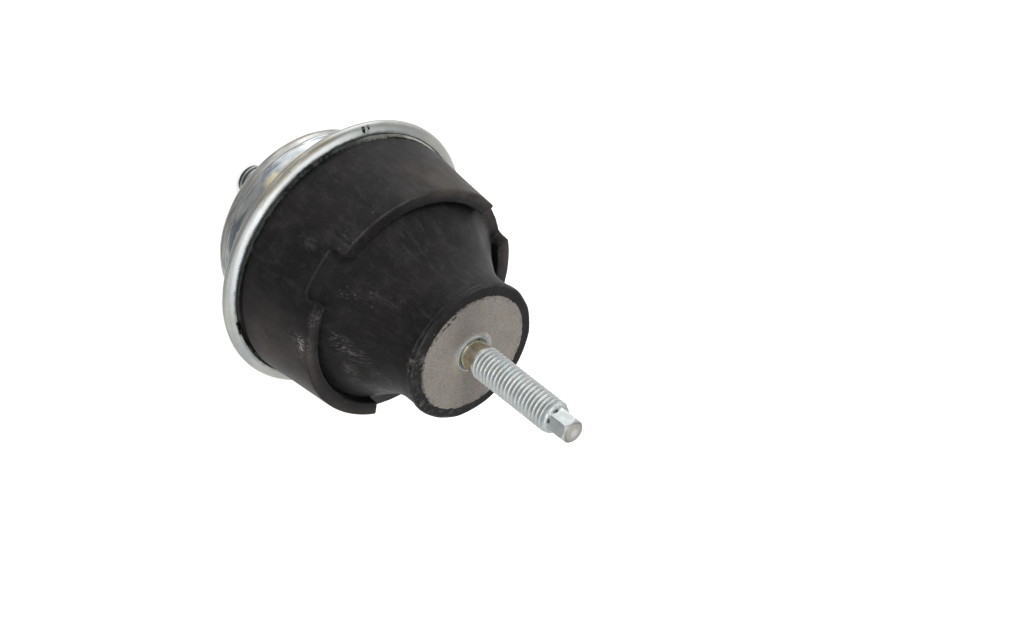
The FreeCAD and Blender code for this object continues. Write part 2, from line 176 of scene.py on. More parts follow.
def smooth(piece, degrees):
    """Smooth shading across edges flatter than this angle."""
    choose(piece)
    bpy.ops.object.shade_smooth_by_angle(angle=math.radians(degrees))


def uneven(piece, grain, depth, middle=0.5):
    """Moves the surface along its normals by a soft cloudy pattern, as pressing and moulding leave it."""
    texture = bpy.data.textures.new(piece.name + "_unevenness", "CLOUDS")
    texture.noise_scale = grain * MM
    texture.noise_depth = 2
    apply_modifier(piece, "DISPLACE", texture=texture, strength=depth * MM, mid_level=middle)


def bearing(place):
    """Direction of a place round the axis, in degrees from +X."""
    return math.degrees(math.atan2(place.y, place.x))


def ease(value, low, high):
    """0 below low, 1 above high, and a smooth change between."""
    share = min(1.0, max(0.0, (value - low) / (high - low)))
    return share * share * (3 - 2 * share)


def finish_piece(piece, node, material):
    """Gives the piece its material, hangs it under the mount's root and hides the CAD part that it stands
    for.
    """
    piece.data.materials.clear()
    piece.data.materials.append(material)
    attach(piece, "root")
    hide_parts(node)


# Shader nodes: short ways to add, set and link them

class Shading:
    """One node tree, its nodes added and linked in the order that they are used."""

    def __init__(self, tree):
        self.tree = tree

    def add(self, kind, **settings):
        """A new node with these settings."""
        node = self.tree.nodes.new(kind)
        for setting, value in settings.items():
            setattr(node, setting, value)
        return node

    def feed(self, socket, source):
        """Links a source to a socket, or sets the socket's own value."""
        if isinstance(source, bpy.types.NodeSocket):
            self.tree.links.new(source, socket)
        elif source is not None:
            socket.default_value = source

    def math(self, operation, first, second=None):
        """One calculation."""
        node = self.add("ShaderNodeMath", operation=operation)
        self.feed(node.inputs[0], first)
        self.feed(node.inputs[1], second)
        return node.outputs[0]

    def plus(self, first, second):
        """The sum of two values."""
        return self.math("ADD", first, second)

    def minus(self, first, second):
        """The first value less the second."""
        return self.math("SUBTRACT", first, second)

    def away(self, value, target):
        """How far the value lies from the target, on either side."""
        return self.math("ABSOLUTE", self.minus(value, target))

    def product(self, first, *others):
        """All these masks multiplied."""
        for other in others:
            first = self.math("MULTIPLY", first, other)
        return first

    def either(self, first, *others):
        """The strongest of these masks."""
        for other in others:
            first = self.math("MAXIMUM", first, other)
        return first

    def change(self, value, low, high, start=0.0, stop=1.0):
        """The value's run from low to high, eased into a run from start to stop."""
        node = self.add("ShaderNodeMapRange", interpolation_type="SMOOTHSTEP")
        ends = {"Value": value, "From Min": low, "From Max": high, "To Min": start, "To Max": stop}
        for name, source in ends.items():
            self.feed(node.inputs[name], source)
        return node.outputs["Result"]

    def blend(self, share, first, second):
        """Two colours blended."""
        node = self.add("ShaderNodeMix", data_type="RGBA")
        self.feed(node.inputs["Factor"], share)
        for socket, source in ((node.inputs[6], first), (node.inputs[7], second)):
            self.feed(socket, (*source, 1) if isinstance(source, tuple) else source)
        return node.outputs[2]

    def stretch(self, place, scale, turn=(0, 0, 0)):
        """The place turned and scaled, for a pattern with its own direction."""
        node = self.add("ShaderNodeMapping")
        self.feed(node.inputs["Vector"], place)
        node.inputs["Rotation"].default_value = tuple(math.radians(angle) for angle in turn)
        node.inputs["Scale"].default_value = scale
        return node.outputs["Vector"]

    def cloud(self, place, grain, detail=2.0, rough=0.5, seed=0.0):
        """Cloudy noise from 0 to 1, its lumps this many millimetres across."""
        node = self.add("ShaderNodeTexNoise", noise_dimensions="4D")
        self.feed(node.inputs["Vector"], place)
        self.feed(node.inputs["W"], seed)
        per_lump = 1 / grain if isinstance(grain, (int, float)) else self.math("DIVIDE", 1.0, grain)
        self.feed(node.inputs["Scale"], per_lump)
        node.inputs["Detail"].default_value = detail
        node.inputs["Roughness"].default_value = rough
        return node.outputs["Fac"]

    def patches(self, place, grain, low, high, seed=0.0, detail=3.0, rough=0.6, start=0.0, stop=1.0):
        """A cloud made into patches: start where it is below low, stop where it is above high."""
        return self.change(self.cloud(place, grain, detail, rough, seed), low, high, start, stop)

    def cells(self, kind, place, grain):
        """Cells of this size in millimetres."""
        node = self.add("ShaderNodeTexVoronoi", feature=kind)
        self.feed(node.inputs["Vector"], place)
        self.feed(node.inputs["Scale"], self.math("DIVIDE", 1.0, grain))
        return node.outputs

    def bump(self, height, strength, distance, normal=None):
        """The surface's normal with these hills on it, up to this many millimetres high."""
        node = self.add("ShaderNodeBump")
        node.inputs["Strength"].default_value = strength
        node.inputs["Distance"].default_value = distance * MM
        self.feed(node.inputs["Height"], height)
        self.feed(node.inputs["Normal"], normal)
        return node.outputs["Normal"]

    def use(self, effect, **given):
        """Places a shared effect and feeds its inputs."""
        node = self.add("ShaderNodeGroup", node_tree=effect)
        for name, source in given.items():
            self.feed(node.inputs[name.capitalize()], source)
        return node.outputs

    def mask(self, effect, **given):
        """Places a shared effect and takes its mask."""
        return self.use(effect, **given)["Mask"]

    def mix_shaders(self, share, first, second):
        """Two shaders, with this share of the second."""
        node = self.add("ShaderNodeMixShader")
        for socket, source in zip(node.inputs, (share, first, second)):
            self.feed(socket, source)
        return node.outputs[0]


def new_effect(name, given, gives):
    """An empty shared effect with its named inputs and outputs."""
    effect = bpy.data.node_groups.new(name, "ShaderNodeTree")
    vectors = ("Place", "Unrolled")

    def add_socket(label, side):
        kind = "NodeSocketVector" if label in vectors else "NodeSocketFloat"
        return effect.interface.new_socket(label, in_out=side, socket_type=kind)

    for label, value in given.items():
        socket = add_socket(label, "INPUT")
        if value is not None:
            socket.default_value = value
    for label in gives:
        add_socket(label, "OUTPUT")
    shading = Shading(effect)
    entry = shading.add("NodeGroupInput")
    result = shading.add("NodeGroupOutput")
    return effect, shading, entry.outputs, result.inputs


SHEET_PER_DEGREE = 0.55     # millimetres of the unrolled sheet for one degree, as on the can's wall


def make_mount_place():
    """Where a point lies on the mount: millimetres from the axis and above the seat, degrees round from +X,
    and the same unrolled into a flat sheet."""
    names = ("Place", "Radius", "Height", "Bearing", "Unrolled")
    effect, shading, _, result = new_effect("mount_place", {}, names)
    coordinates = shading.add("ShaderNodeTexCoord")
    place = shading.add("ShaderNodeVectorMath", operation="SCALE")
    shading.feed(place.inputs[0], coordinates.outputs["Object"])
    place.inputs["Scale"].default_value = 1 / MM
    parts = shading.add("ShaderNodeSeparateXYZ")
    shading.feed(parts.inputs[0], place.outputs[0])
    across, along, up = parts.outputs
    square = shading.plus(shading.product(across, across), shading.product(along, along))
    shading.feed(result["Place"], place.outputs[0])
    distance = shading.math("SQRT", square)
    shading.feed(result["Radius"], distance)
    shading.feed(result["Height"], up)
    turn = shading.product(shading.math("ARCTAN2", along, across), 180 / math.pi)
    shading.feed(result["Bearing"], turn)
    unrolled = shading.add("ShaderNodeCombineXYZ")
    for socket, source in zip(unrolled.inputs, (shading.product(turn, SHEET_PER_DEGREE), distance, up)):
        shading.feed(socket, source)
    shading.feed(result["Unrolled"], unrolled.outputs[0])
    return effect


def make_band():
    """A mask that is 1 where the value lies between low and high, with soft borders."""
    effect, shading, given, result = new_effect(
        "band", {"Value": 0.0, "Low": 0.0, "High": 1.0, "Soft": 0.1}, ("Mask",))
    value, low, high, soft = (given[name] for name in ("Value", "Low", "High", "Soft"))
    rises = shading.change(value, shading.minus(low, soft), shading.plus(low, soft))
    falls = shading.change(value, shading.plus(high, soft), shading.minus(high, soft))
    shading.feed(result["Mask"], shading.product(rises, falls))
    return effect


def make_speckle():
    """Scattered small spots: their spacing in millimetres, their size and the share of places with one."""
    effect, shading, given, result = new_effect(
        "speckle", {"Place": None, "Grain": 1.0, "Size": 0.2, "Share": 0.2}, ("Mask",))
    cells = shading.cells("F1", given["Place"], given["Grain"])
    chance = shading.add("ShaderNodeSeparateColor")
    shading.feed(chance.inputs[0], cells["Color"])
    chosen = shading.math("LESS_THAN", chance.outputs[0], given["Share"])
    size = shading.product(given["Size"], shading.change(chance.outputs[1], 0.0, 1.0, 0.5, 1.2))
    spot = shading.change(cells["Distance"], size, shading.product(size, 0.6))
    shading.feed(result["Mask"], shading.product(chosen, spot))
    return effect


def make_scratches():
    """Short broken hair lines across the stretched place that is fed in."""
    effect, shading, given, result = new_effect(
        "scratches", {"Place": None, "Grain": 1.0, "Width": 0.02, "Share": 0.5, "Seed": 0.0}, ("Mask",))
    names = ("Place", "Grain", "Width", "Share", "Seed")
    place, grain, width, share, seed = (given[name] for name in names)
    wave = shading.cloud(place, grain, 1.0, 0.4, seed)
    line = shading.change(shading.away(wave, 0.5), width, 0.0)
    broken = shading.cloud(place, shading.product(grain, 0.7), 2.0, 0.6, shading.plus(seed, 5.0))
    kept = shading.change(broken, shading.minus(1.0, share), shading.minus(1.12, share))
    shading.feed(result["Mask"], shading.product(line, kept))
    return effect


def make_veil():
    """A patchy film, such as dust or bloom: cloudy lumps broken up by a finer grain."""
    effect, shading, given, result = new_effect(
        "veil", {"Place": None, "Grain": 10.0, "Share": 0.5, "Seed": 0.0}, ("Mask",))
    place, grain, share, seed = (given[name] for name in ("Place", "Grain", "Share", "Seed"))
    lumps = shading.cloud(place, grain, 3.0, 0.55, seed)
    fine = shading.cloud(place, shading.product(grain, 0.07), 2.0, 0.6, seed)
    mixed = shading.plus(shading.product(lumps, 0.75), shading.product(fine, 0.25))
    film = shading.change(mixed, shading.minus(0.92, share), shading.minus(1.16, share))
    shading.feed(result["Mask"], film)
    return effect


def make_grain():
    """A fine grained surface: its tone and its height, both from 0 to 1."""
    effect, shading, given, result = new_effect("grain", {"Place": None, "Grain": 0.5}, ("Tone", "Height"))
    coarse = shading.cloud(given["Place"], given["Grain"], 3.0, 0.65)
    distance = shading.cells("SMOOTH_F1", given["Place"], given["Grain"])["Distance"]
    tone = shading.plus(shading.product(coarse, 0.6), shading.product(distance, 0.5))
    shading.feed(result["Tone"], shading.change(tone, 0.3, 0.85))
    shading.feed(result["Height"], shading.plus(coarse, distance))
    return effect


MOUNT_PLACE = make_mount_place()
BAND = make_band()
SPECKLE = make_speckle()
SCRATCHES = make_scratches()
VEIL = make_veil()
GRAIN = make_grain()


# Materials

class Finish(Shading):
    """One material: its surface shader, its place on the mount and the colour that is painted so far."""

    def __init__(self, name, colour, roughness, metallic=0.0):
        self.material = bpy.data.materials.new(name)
        self.material.use_nodes = True
        super().__init__(self.material.node_tree)
        self.surface = self.tree.nodes["Principled BSDF"].inputs
        self.surface["Base Color"].default_value = (*colour, 1)
        self.surface["Roughness"].default_value = roughness
        self.surface["Metallic"].default_value = metallic
        self.colour = colour
        self.place, self.radius, self.height, self.bearing, self.unrolled = self.use(MOUNT_PLACE)

    def within(self, value, low, high, soft):
        """The mask of one band of values."""
        return self.mask(BAND, value=value, low=low, high=high, soft=soft)

    def around(self, low, high, soft):
        """The mask of a sector, in degrees round the axis."""
        return self.within(self.bearing, low, high, soft)

    def out(self, low, high, soft):
        """The mask of a ring, in millimetres from the axis."""
        return self.within(self.radius, low, high, soft)

    def up(self, low, high, soft):
        """The mask of a layer, in millimetres above the seat."""
        return self.within(self.height, low, high, soft)

    def paint(self, tint, *masks):
        """Lays a tint over the colour where all these masks meet."""
        self.colour = self.blend(self.product(*masks), self.colour, tint)

    def finished(self, **varying):
        """Links the painted colour and what else varies to the surface shader."""
        self.feed(self.surface["Base Color"], self.colour)
        for name, source in varying.items():
            self.feed(self.surface[name.capitalize()], source)
        return self.material


def make_can_plating():
    """Bright zinc: blue-white, painted reflections (slate, creamy streaks) on the drawn wall and bead,
    painted shade and duller gloss in the creases.
    """
    zinc = Finish("bright_can_zinc", (0.66, 0.7, 0.72), 0.22, metallic=1)
    place, radius, height, bearing = zinc.place, zinc.radius, zinc.height, zinc.bearing
    change, patches, product, either = zinc.change, zinc.patches, zinc.product, zinc.either
    around, out, up, within = zinc.around, zinc.out, zinc.up, zinc.within
    drawn_out = zinc.stretch(zinc.unrolled, (0.22, 1, 1))
    tone = zinc.cloud(place, 10, 3, 0.55)
    zinc.colour = zinc.blend(change(tone, 0.35, 0.65), (0.6, 0.655, 0.675), (0.79, 0.8, 0.77))

    wander = zinc.plus(height, product(zinc.cloud(drawn_out, 1.6, 2, 0.5), 1.2))
    wall = change(height, 15.6, 15)
    # Painted reflection on the base rounding: a beige-grey band, with a broken darker band inside it.
    foot = product(wall, change(wander, 5.9, 5.4))
    foot_reflection = zinc.blend(patches(drawn_out, 1.3, 0.36, 0.62, seed=30), (0.44, 0.43, 0.42), (0.8, 0.76, 0.69))
    zinc.paint(foot_reflection, foot, 0.8)
    rim_of_foot = product(
        wall, within(wander, 3.9, 4.5, 0.3), patches(drawn_out, 2.2, 0.42, 0.56, seed=12, detail=2))
    zinc.paint((0.34, 0.33, 0.32), rim_of_foot, 0.6)
    # Slate patches in a band of the wall: the plating's own patchiness, darkened further as a painted
    # reflection.
    slate = product(wall, within(wander, 6.3, 9.9, 0.5), patches(drawn_out, 2.6, 0.42, 0.56, seed=3.1))
    zinc.paint((0.2, 0.24, 0.31), slate, 0.85)
    # Painted reflection: a blue-white band on the wall.
    blue_white_reflection = product(wall, within(wander, 7.2, 9.6, 0.5), around(-56, -30, 3))
    zinc.paint((0.8, 0.9, 0.97), blue_white_reflection, 0.75)
    # Painted reflection: a warmer, darker tone high on the wall.
    upper_wall_reflection = product(wall, change(wander, 9.9, 10.8))
    zinc.paint((0.5, 0.44, 0.39), upper_wall_reflection, 0.6)
    # Painted reflections: a creamy patch and creamy streaks on the wall.
    cream_reflection = product(wall, within(wander, 9.2, 11.3, 0.4), around(-25, -15.5, 1.5))
    streak_reflections = product(wall, change(wander, 5.6, 6.4), patches(drawn_out, 1.1, 0.6, 0.66, seed=7.7))
    zinc.paint((0.98, 0.88, 0.62), either(cream_reflection, product(streak_reflections, 0.8)))
    # Painted reflection: a broken dark line along the wall.
    dark_reflection_line = product(
        within(wander, 5.95, 6.25, 0.14), either(around(-62, -20, 5), 0.4),
        patches(drawn_out, 3, 0.36, 0.46, seed=5, detail=2))
    zinc.paint((0.06, 0.07, 0.09), dark_reflection_line, 0.9)
    # Painted highlight: a broken pale line along the wall.
    glint = product(within(wander, 6.45, 6.7, 0.1), patches(drawn_out, 2.4, 0.5, 0.56, seed=9, detail=2))
    zinc.paint((1, 1, 0.98), glint)

    # Painted shade: an olive darkening in the shelf's corner and under the rim.
    crease_shade = either(
        product(up(11.6, 13.9, 0.3), change(radius, 31, 31.3)),
        product(up(19.2, 21.2, 0.4), out(34, 42, 0.5)))
    zinc.paint((0.27, 0.235, 0.155), crease_shade, 0.85)
    bead = change(height, 21.6, 23)
    shoulder = product(out(42.4, 44.2, 0.3), up(21, 24.3, 0.3), either(around(-50, -6, 8), 0.35))
    shoulder_reflection = zinc.blend(patches(drawn_out, 1.6, 0.4, 0.6, seed=15), (0.36, 0.31, 0.22), (0.74, 0.67, 0.54))
    pale = zinc.mask(VEIL, place=place, grain=6, share=0.52, seed=1.3)
    zinc.paint((0.72, 0.765, 0.775), bead, pale, 0.45)
    # Painted highlight: the bead lighter on the side towards the camera.
    facing_highlight = product(bead, around(-42, 34, 8))
    zinc.paint((0.88, 0.92, 0.93), facing_highlight, 0.7)
    # Painted reflection: beige-brown on the bead's outer shoulder, strongest towards the camera.
    zinc.paint(shoulder_reflection, shoulder, 0.75)
    # Painted reflection: a darker greenish grey on the lip in this sector.
    greenish = product(bead, around(-98, -54, 8), change(radius, 43.4, 42.6))
    zinc.paint((0.34, 0.37, 0.35), greenish, 0.6)
    # Painted reflection of the dark rubber on the lip's inner slope.
    inner_edge_reflection = product(
        bead, change(radius, 41.7, 40.9), patches(place, 2, 0.35, 0.6, seed=21, start=0.35, stop=0.9))
    zinc.paint((0.22, 0.24, 0.23), inner_edge_reflection, 0.7)
    # Painted reflection: warm grey on the bead at both sides.
    warm = product(bead, either(change(bearing, -80, -104), change(bearing, 70, 95)))
    zinc.paint((0.66, 0.63, 0.57), warm, 0.55)
    mottle = zinc.use(GRAIN, place=place, grain=0.8)
    zinc.paint((0.42, 0.45, 0.44), mottle["Tone"], 0.22)
    specks = zinc.mask(SPECKLE, place=place, grain=3, size=0.08, share=0.25)
    zinc.paint((0.16, 0.15, 0.12), specks, 0.6)

    # Near-black along the lip's inner edge, ragged, strongest in three sectors.
    ragged = product(zinc.minus(zinc.cloud(place, 1.1, 3, 0.65), 0.5), 1.6)
    smeared = product(change(height, 23.5, 24), change(zinc.plus(radius, ragged), 41.6, 40.9))
    dark_lip_sectors = either(
        around(44.5, 52.5, 1.2), product(around(-34.5, -25.5, 1.5), 0.85), product(around(-75, 44, 9), 0.6))
    zinc.paint((0.012, 0.014, 0.013), smeared, dark_lip_sectors)
    nicks = product(
        either(around(-61.6, -60.1, 0.3), around(-63.9, -62.7, 0.3)), out(41.4, 43.4, 0.2),
        change(height, 22, 23), patches(place, 0.7, 0.44, 0.5, rough=0.7))
    zinc.paint((0.02, 0.024, 0.02), nicks)

    shine = patches(place, 5, 0.3, 0.7, seed=2, start=0.1, stop=0.18)
    shine = zinc.plus(shine, product(bead, 0.16))
    dulled = either(shine, product(crease_shade, 0.5), product(nicks, 0.8), product(smeared, dark_lip_sectors, 0.8))
    rings = zinc.bump(zinc.cloud(zinc.stretch(zinc.unrolled, (0.05, 0.5, 1.6)), 1, 2, 0.5), 0.3, 0.04)
    return zinc.finished(roughness=dulled, normal=zinc.bump(mottle["Height"], 0.12, 0.02, rings))


def make_stud_plating():
    """Zinc on rolled steel: pale ridges, painted shade in the roots, dimples and short stud, an olive-brown
    neck with a painted highlight, a duller beige end.
    """
    zinc = Finish("stud_zinc", (0.78, 0.81, 0.82), 0.32, metallic=1)
    place, radius, height = zinc.place, zinc.radius, zinc.height
    change, patches, product, either = zinc.change, zinc.patches, zinc.product, zinc.either
    around, out, up = zinc.around, zinc.out, zinc.up
    tone = zinc.cloud(place, 2.4, 3, 0.6)
    zinc.colour = zinc.blend(change(tone, 0.3, 0.7), (0.7, 0.78, 0.81), (0.93, 0.94, 0.92))
    threaded = either(change(height, 87.6, 88.1), change(height, -1, -1.6))
    # Painted shade: the thread's roots darker.
    root = product(change(radius, 4.62, 4.15), threaded, change(height, 118.2, 117.6))
    zinc.paint((0.4, 0.42, 0.4), root, 0.55)
    stain = zinc.mask(VEIL, place=place, grain=3.5, share=0.5, seed=4)
    zinc.paint((0.58, 0.56, 0.48), stain, threaded, 0.3)
    neck = product(up(82.8, 87.8, 0.2), change(radius, 4.85, 4.7))
    patchy = zinc.cloud(place, 1.4, 3, 0.6, 6)
    olive = zinc.blend(change(patchy, 0.35, 0.65), (0.52, 0.46, 0.3), (0.9, 0.82, 0.62))
    zinc.paint(olive, neck, 0.9)
    moat = product(up(82.3, 83, 0.1), out(4.6, 5.28, 0.06))
    zinc.paint((0.13, 0.145, 0.125), moat, 0.85)
    driven = product(out(2.75, 3.35, 0.12), change(height, 125.3, 125.7))
    end = change(height, 125.95, 126.12)
    rubbed = change(zinc.plus(radius, product(patchy, 1.4)), 2.7, 1.4)
    zinc.paint(zinc.blend(rubbed, (0.5, 0.48, 0.44), (0.8, 0.79, 0.75)), end, 0.85)
    zinc.paint((0.36, 0.31, 0.24), driven, 0.7)
    # Painted shade in the dimples at the flats' feet.
    dimple_shade = product(up(118.2, 119.9, 0.2), change(radius, 3.52, 3.4))
    zinc.paint((0.14, 0.14, 0.13), dimple_shade, 0.7)
    # Painted highlight on the plain neck.
    neck_highlight = product(neck, around(-24, -10, 5))
    zinc.paint((1, 0.97, 0.86), neck_highlight, 0.8)
    seat = product(out(5.56, 5.93, 0.05), up(82.4, 82.72, 0.05))
    zinc.paint((0.27, 0.26, 0.235), seat, 0.75)
    # Painted shade: the short stud's thread near black, its crests left pale.
    far = product(change(height, -1, -1.6), change(radius, 4.85, 4.6))
    zinc.paint((0.05, 0.06, 0.07), far, 0.85)
    mottle = zinc.use(GRAIN, place=place, grain=0.42)
    zinc.paint((0.5, 0.53, 0.53), mottle["Tone"], 0.25)

    shine = patches(place, 1.2, 0.3, 0.7, seed=2, start=0.2, stop=0.4)
    shine = zinc.minus(shine, product(neck, 0.12))
    dulled = either(shine, product(root, 0.4), product(end, 0.5))
    return zinc.finished(roughness=dulled, normal=zinc.bump(mottle["Height"], 0.2, 0.025))


def make_core_casting():
    """Cast metal left bare: warm grey, grained and pitted, with a torn black flash line and rubbed zinc."""
    cast = Finish("cast_core", (0.26, 0.235, 0.215), 0.7)
    place, radius = cast.place, cast.radius
    change, patches, product, either = cast.change, cast.patches, cast.product, cast.either
    around, out = cast.around, cast.out
    broad = cast.cloud(place, 7, 3, 0.5)
    cast.colour = cast.blend(change(broad, 0.35, 0.65), (0.2, 0.18, 0.162), (0.25, 0.232, 0.212))
    rosy = patches(place, 5, 0.45, 0.65, seed=4, detail=2, rough=0.5)
    cast.paint((0.26, 0.215, 0.205), rosy, 0.4)
    ruddy = patches(place, 3, 0.46, 0.66, seed=14)
    cast.paint((0.235, 0.2, 0.155), ruddy, 0.45)
    grain = cast.use(GRAIN, place=place, grain=0.5)
    cast.paint((0.12, 0.102, 0.09), grain["Tone"], 0.6)
    dotted = patches(place, 0.55, 0.4, 0.66, seed=17, detail=2)
    cast.paint((0.37, 0.345, 0.315), dotted, 0.3)
    glint = cast.mask(SPECKLE, place=place, grain=0.75, size=0.34, share=0.3)
    cast.paint((0.47, 0.45, 0.42), glint, 0.4)
    outer = change(radius, 10, 18.5)
    pits = product(
        cast.mask(SPECKLE, place=place, grain=0.8, size=0.26, share=0.24), cast.plus(0.35, outer))
    cast.paint((0.06, 0.053, 0.047), pits, 0.6)
    edge = product(change(radius, 16.6, 18.4), patches(place, 2.2, 0.45, 0.6, seed=8))
    cast.paint((0.1, 0.087, 0.075), edge, 0.55)
    crescent = product(change(radius, 17.3, 17.7), around(-42, 16, 8))
    cast.paint((0.27, 0.235, 0.195), crescent, 0.55)
    broken = patches(place, 0.75, 0.46, 0.54, seed=2, rough=0.65)
    line = either(
        product(out(16.9, 17.6, 0.14), around(-31.5, -26, 0.8)),
        product(out(16.6, 17.5, 0.16), around(-23.5, -7.5, 1), broken),
        product(out(17.2, 17.6, 0.1), around(-5, 3, 1), broken),
        product(out(17.8, 18.6, 0.12), around(-75, 75, 9), broken, 0.75))
    cast.paint((0.008, 0.007, 0.007), line, 0.95)
    rubbed = product(
        out(5.9, 7, 0.3), patches(place, 1.1, 0.32, 0.6),
        either(around(-150, -86, 14), product(around(-86, 50, 14), 0.5)))
    cast.paint((0.56, 0.58, 0.57), rubbed, 0.65)
    grease = product(out(5.8, 7.6, 0.5), around(30, 110, 20))
    cast.paint((0.3, 0.28, 0.19), grease, 0.45)

    return cast.finished(
        metallic=product(either(glint, rubbed), 0.4), roughness=change(broad, 0.3, 0.7, 0.62, 0.8),
        normal=cast.bump(cast.minus(grain["Height"], pits), 0.5, 0.07))


def make_spring_compound():
    """Black rubber: brown-grey dust and painted sheen, chalky wear and painted highlights on edges, strokes
    and specks where it was handled, painted shade at notches and foot.
    """
    rubber = Finish("black_spring_rubber", (0.0085, 0.008, 0.0092), 0.5)
    place, radius, height, bearing = rubber.place, rubber.radius, rubber.height, rubber.bearing
    change, patches, product, either = rubber.change, rubber.patches, rubber.product, rubber.either
    around, out, up, within = rubber.around, rubber.out, rubber.up, rubber.within
    upright = rubber.stretch(rubber.unrolled, (1, 0.3, 0.22), (0, 12, 0))
    broad = rubber.cloud(place, 14, 3, 0.5)
    rubber.colour = rubber.blend(change(broad, 0.35, 0.65), (0.0058, 0.0055, 0.007), (0.011, 0.0095, 0.01))
    blotches = patches(place, 4, 0.48, 0.7, seed=4)
    rubber.paint((0.026, 0.0235, 0.0225), blotches, 0.5)
    fine = rubber.cloud(place, 0.6, 3, 0.65)
    rubber.paint((0.032, 0.03, 0.029), change(fine, 0.45, 0.75, 0, 0.4))
    drawn = patches(upright, 1.4, 0.5, 0.72, seed=5)
    rubber.paint((0.04, 0.036, 0.035), drawn, 0.35)
    wall = change(radius, 34, 36.8)
    # Dust and painted sheen: a brown-grey film, heaviest on the wall's two sides.
    dust_and_sheen = product(
        wall,
        either(
            product(around(34, 150, 20), change(height, 22, 36)),
            product(around(-150, -62, 16), change(height, 34, 46), 0.8)))
    veil = rubber.mask(
        VEIL, place=rubber.stretch(rubber.unrolled, (1, 1, 0.5)), grain=5, share=0.56, seed=2)
    film = rubber.plus(product(veil, 0.5), 0.2)
    rubber.paint((0.085, 0.071, 0.062), dust_and_sheen, film)
    bloom = rubber.mask(VEIL, place=place, grain=7, share=0.42, seed=6)
    rubber.paint((0.042, 0.039, 0.038), bloom, 0.3)
    crown = product(change(height, CROWN_TOP - 0.9, CROWN_TOP - 0.2), change(radius, 32, 32.8))
    grains = rubber.mask(SPECKLE, place=place, grain=0.55, size=0.3, share=0.45)
    sandy = either(around(40, 125, 20), 0.25)
    rubber.paint((0.05, 0.047, 0.036), crown, grains, sandy, 0.6)

    ragged = product(rubber.minus(rubber.cloud(place, 1.1, 3, 0.6), 0.5), 1.1)
    edges_worn_and_highlit = (
        (37.25, CROWN_TOP - 0.2), (CROWN_BORE + 0.3, CROWN_TOP - 0.2), (21.6, FACE - 0.5), (21.8, 80.5))
    nearest = None
    for edge_radius, edge_height in edges_worn_and_highlit:
        distance = rubber.plus(rubber.away(radius, edge_radius), rubber.away(height, edge_height))
        nearest = rubber.math("MINIMUM", nearest, distance) if nearest else distance
    step = 360 / NOTCH_COUNT
    aside = rubber.minus(rubber.math("FLOORED_MODULO", rubber.plus(bearing, step / 2), step), step / 2)
    notch = within(aside, -11.6, 11.6, 0.8)
    # Painted shade on the notch floors.
    floor = product(notch, out(30, 37.6, 0.3), change(height, 53, 50.6))
    rubber.paint((0.0042, 0.004, 0.005), floor, 0.45)
    # Painted highlight along the rounded outer edge of each notch floor.
    off_floor = rubber.plus(rubber.away(radius, 37.75), rubber.away(height, SHOULDER - 0.1))
    lip_of_floor = product(
        within(aside, -10.8, 10.8, 0.8), change(off_floor, 0.75, 0.2),
        patches(place, 3, 0.35, 0.6, seed=27, start=0.5, stop=1))
    rubber.paint((0.04, 0.038, 0.038), lip_of_floor, 0.6)
    # Chalky wear and painted highlights along the crown's edges, the face's edge and the neck's bead.
    wear_and_highlight = change(rubber.plus(nearest, ragged), 0.62, 0.12)
    patchy = patches(place, 8, 0.4, 0.65, seed=9, detail=2, rough=0.5, start=0.1, stop=0.85)
    rubber.paint((0.085, 0.08, 0.076), wear_and_highlight, patchy, 0.6)

    trail = rubber.minus(bearing, product(rubber.minus(67.3, height), 0.93))
    sweep = rubber.minus(bearing, product(rubber.minus(height, 56.7), 1.33))
    flank = change(radius, 34, 32)
    strokes_here = either(
        product(wall, around(29, 42, 3), up(49, 54.2, 1.5), 0.6),
        product(flank, within(sweep, 28, 39.5, 5), up(55.8, 65, 2.5), 0.75),
        product(flank, around(50, 64, 3), up(64.5, 71.5, 1.5), 0.6))
    crossed_here = either(
        product(wall, around(31, 38, 1.5), up(50.6, 53.2, 0.6)),
        product(flank, around(49, 61, 4), up(57.6, 61, 1.5)),
        product(flank, around(61, 74, 4), up(57.4, 60.4, 1.5), 0.6),
        product(flank, around(70, 88, 3), up(60, 65.5, 1.5), 0.7),
        product(around(16, 24, 2), out(34.2, 37.6, 0.4), change(height, 53, 53.8), 0.3))
    dots_here = either(
        product(within(trail, -11.5, -4.5, 1.5), up(54, 69, 1)),
        product(wall, around(-22, -8, 3), up(47.5, 54.2, 2)),
        product(wall, around(-12, -6, 2), up(41, 45, 1.5)),
        product(wall, around(29, 44, 3), up(46, 54.2, 1.5)))
    strokes = rubber.mask(SCRATCHES, place=upright, grain=0.7, width=0.055, share=0.64, seed=1)
    cross = rubber.mask(
        SCRATCHES, place=rubber.stretch(rubber.unrolled, (1, 0.3, 0.4), (0, -30, 0)), grain=0.85,
        width=0.055, share=0.68, seed=8)
    dots = rubber.mask(SPECKLE, place=place, grain=0.95, size=0.24, share=0.5)
    smudge = patches(upright, 1.6, 0.46, 0.66, seed=7)
    marks = either(
        product(strokes_here, strokes), product(crossed_here, either(strokes, cross)),
        product(dots_here, dots, 0.55))
    rubber.paint((0.055, 0.05, 0.049), either(strokes_here, crossed_here, dots_here), smudge, 0.5)
    rubber.paint((0.13, 0.123, 0.118), crossed_here, smudge, 0.35)
    rubber.paint((0.185, 0.177, 0.17), marks, 0.95)
    smeared = product(wall, around(30.5, 38, 1.5), up(50.8, 53, 0.6), either(strokes, cross))
    rubber.paint((0.5, 0.47, 0.45), smeared, 0.9)
    shaded = either(
        product(out(33, 33.75, 0.2), up(51.3, 53.6, 0.3)),
        product(around(46, 110, 10), change(height, 53.2, 54), change(radius, 37.6, 37), 0.5))
    rubber.paint((0.0035, 0.0035, 0.0035), shaded, 0.85)
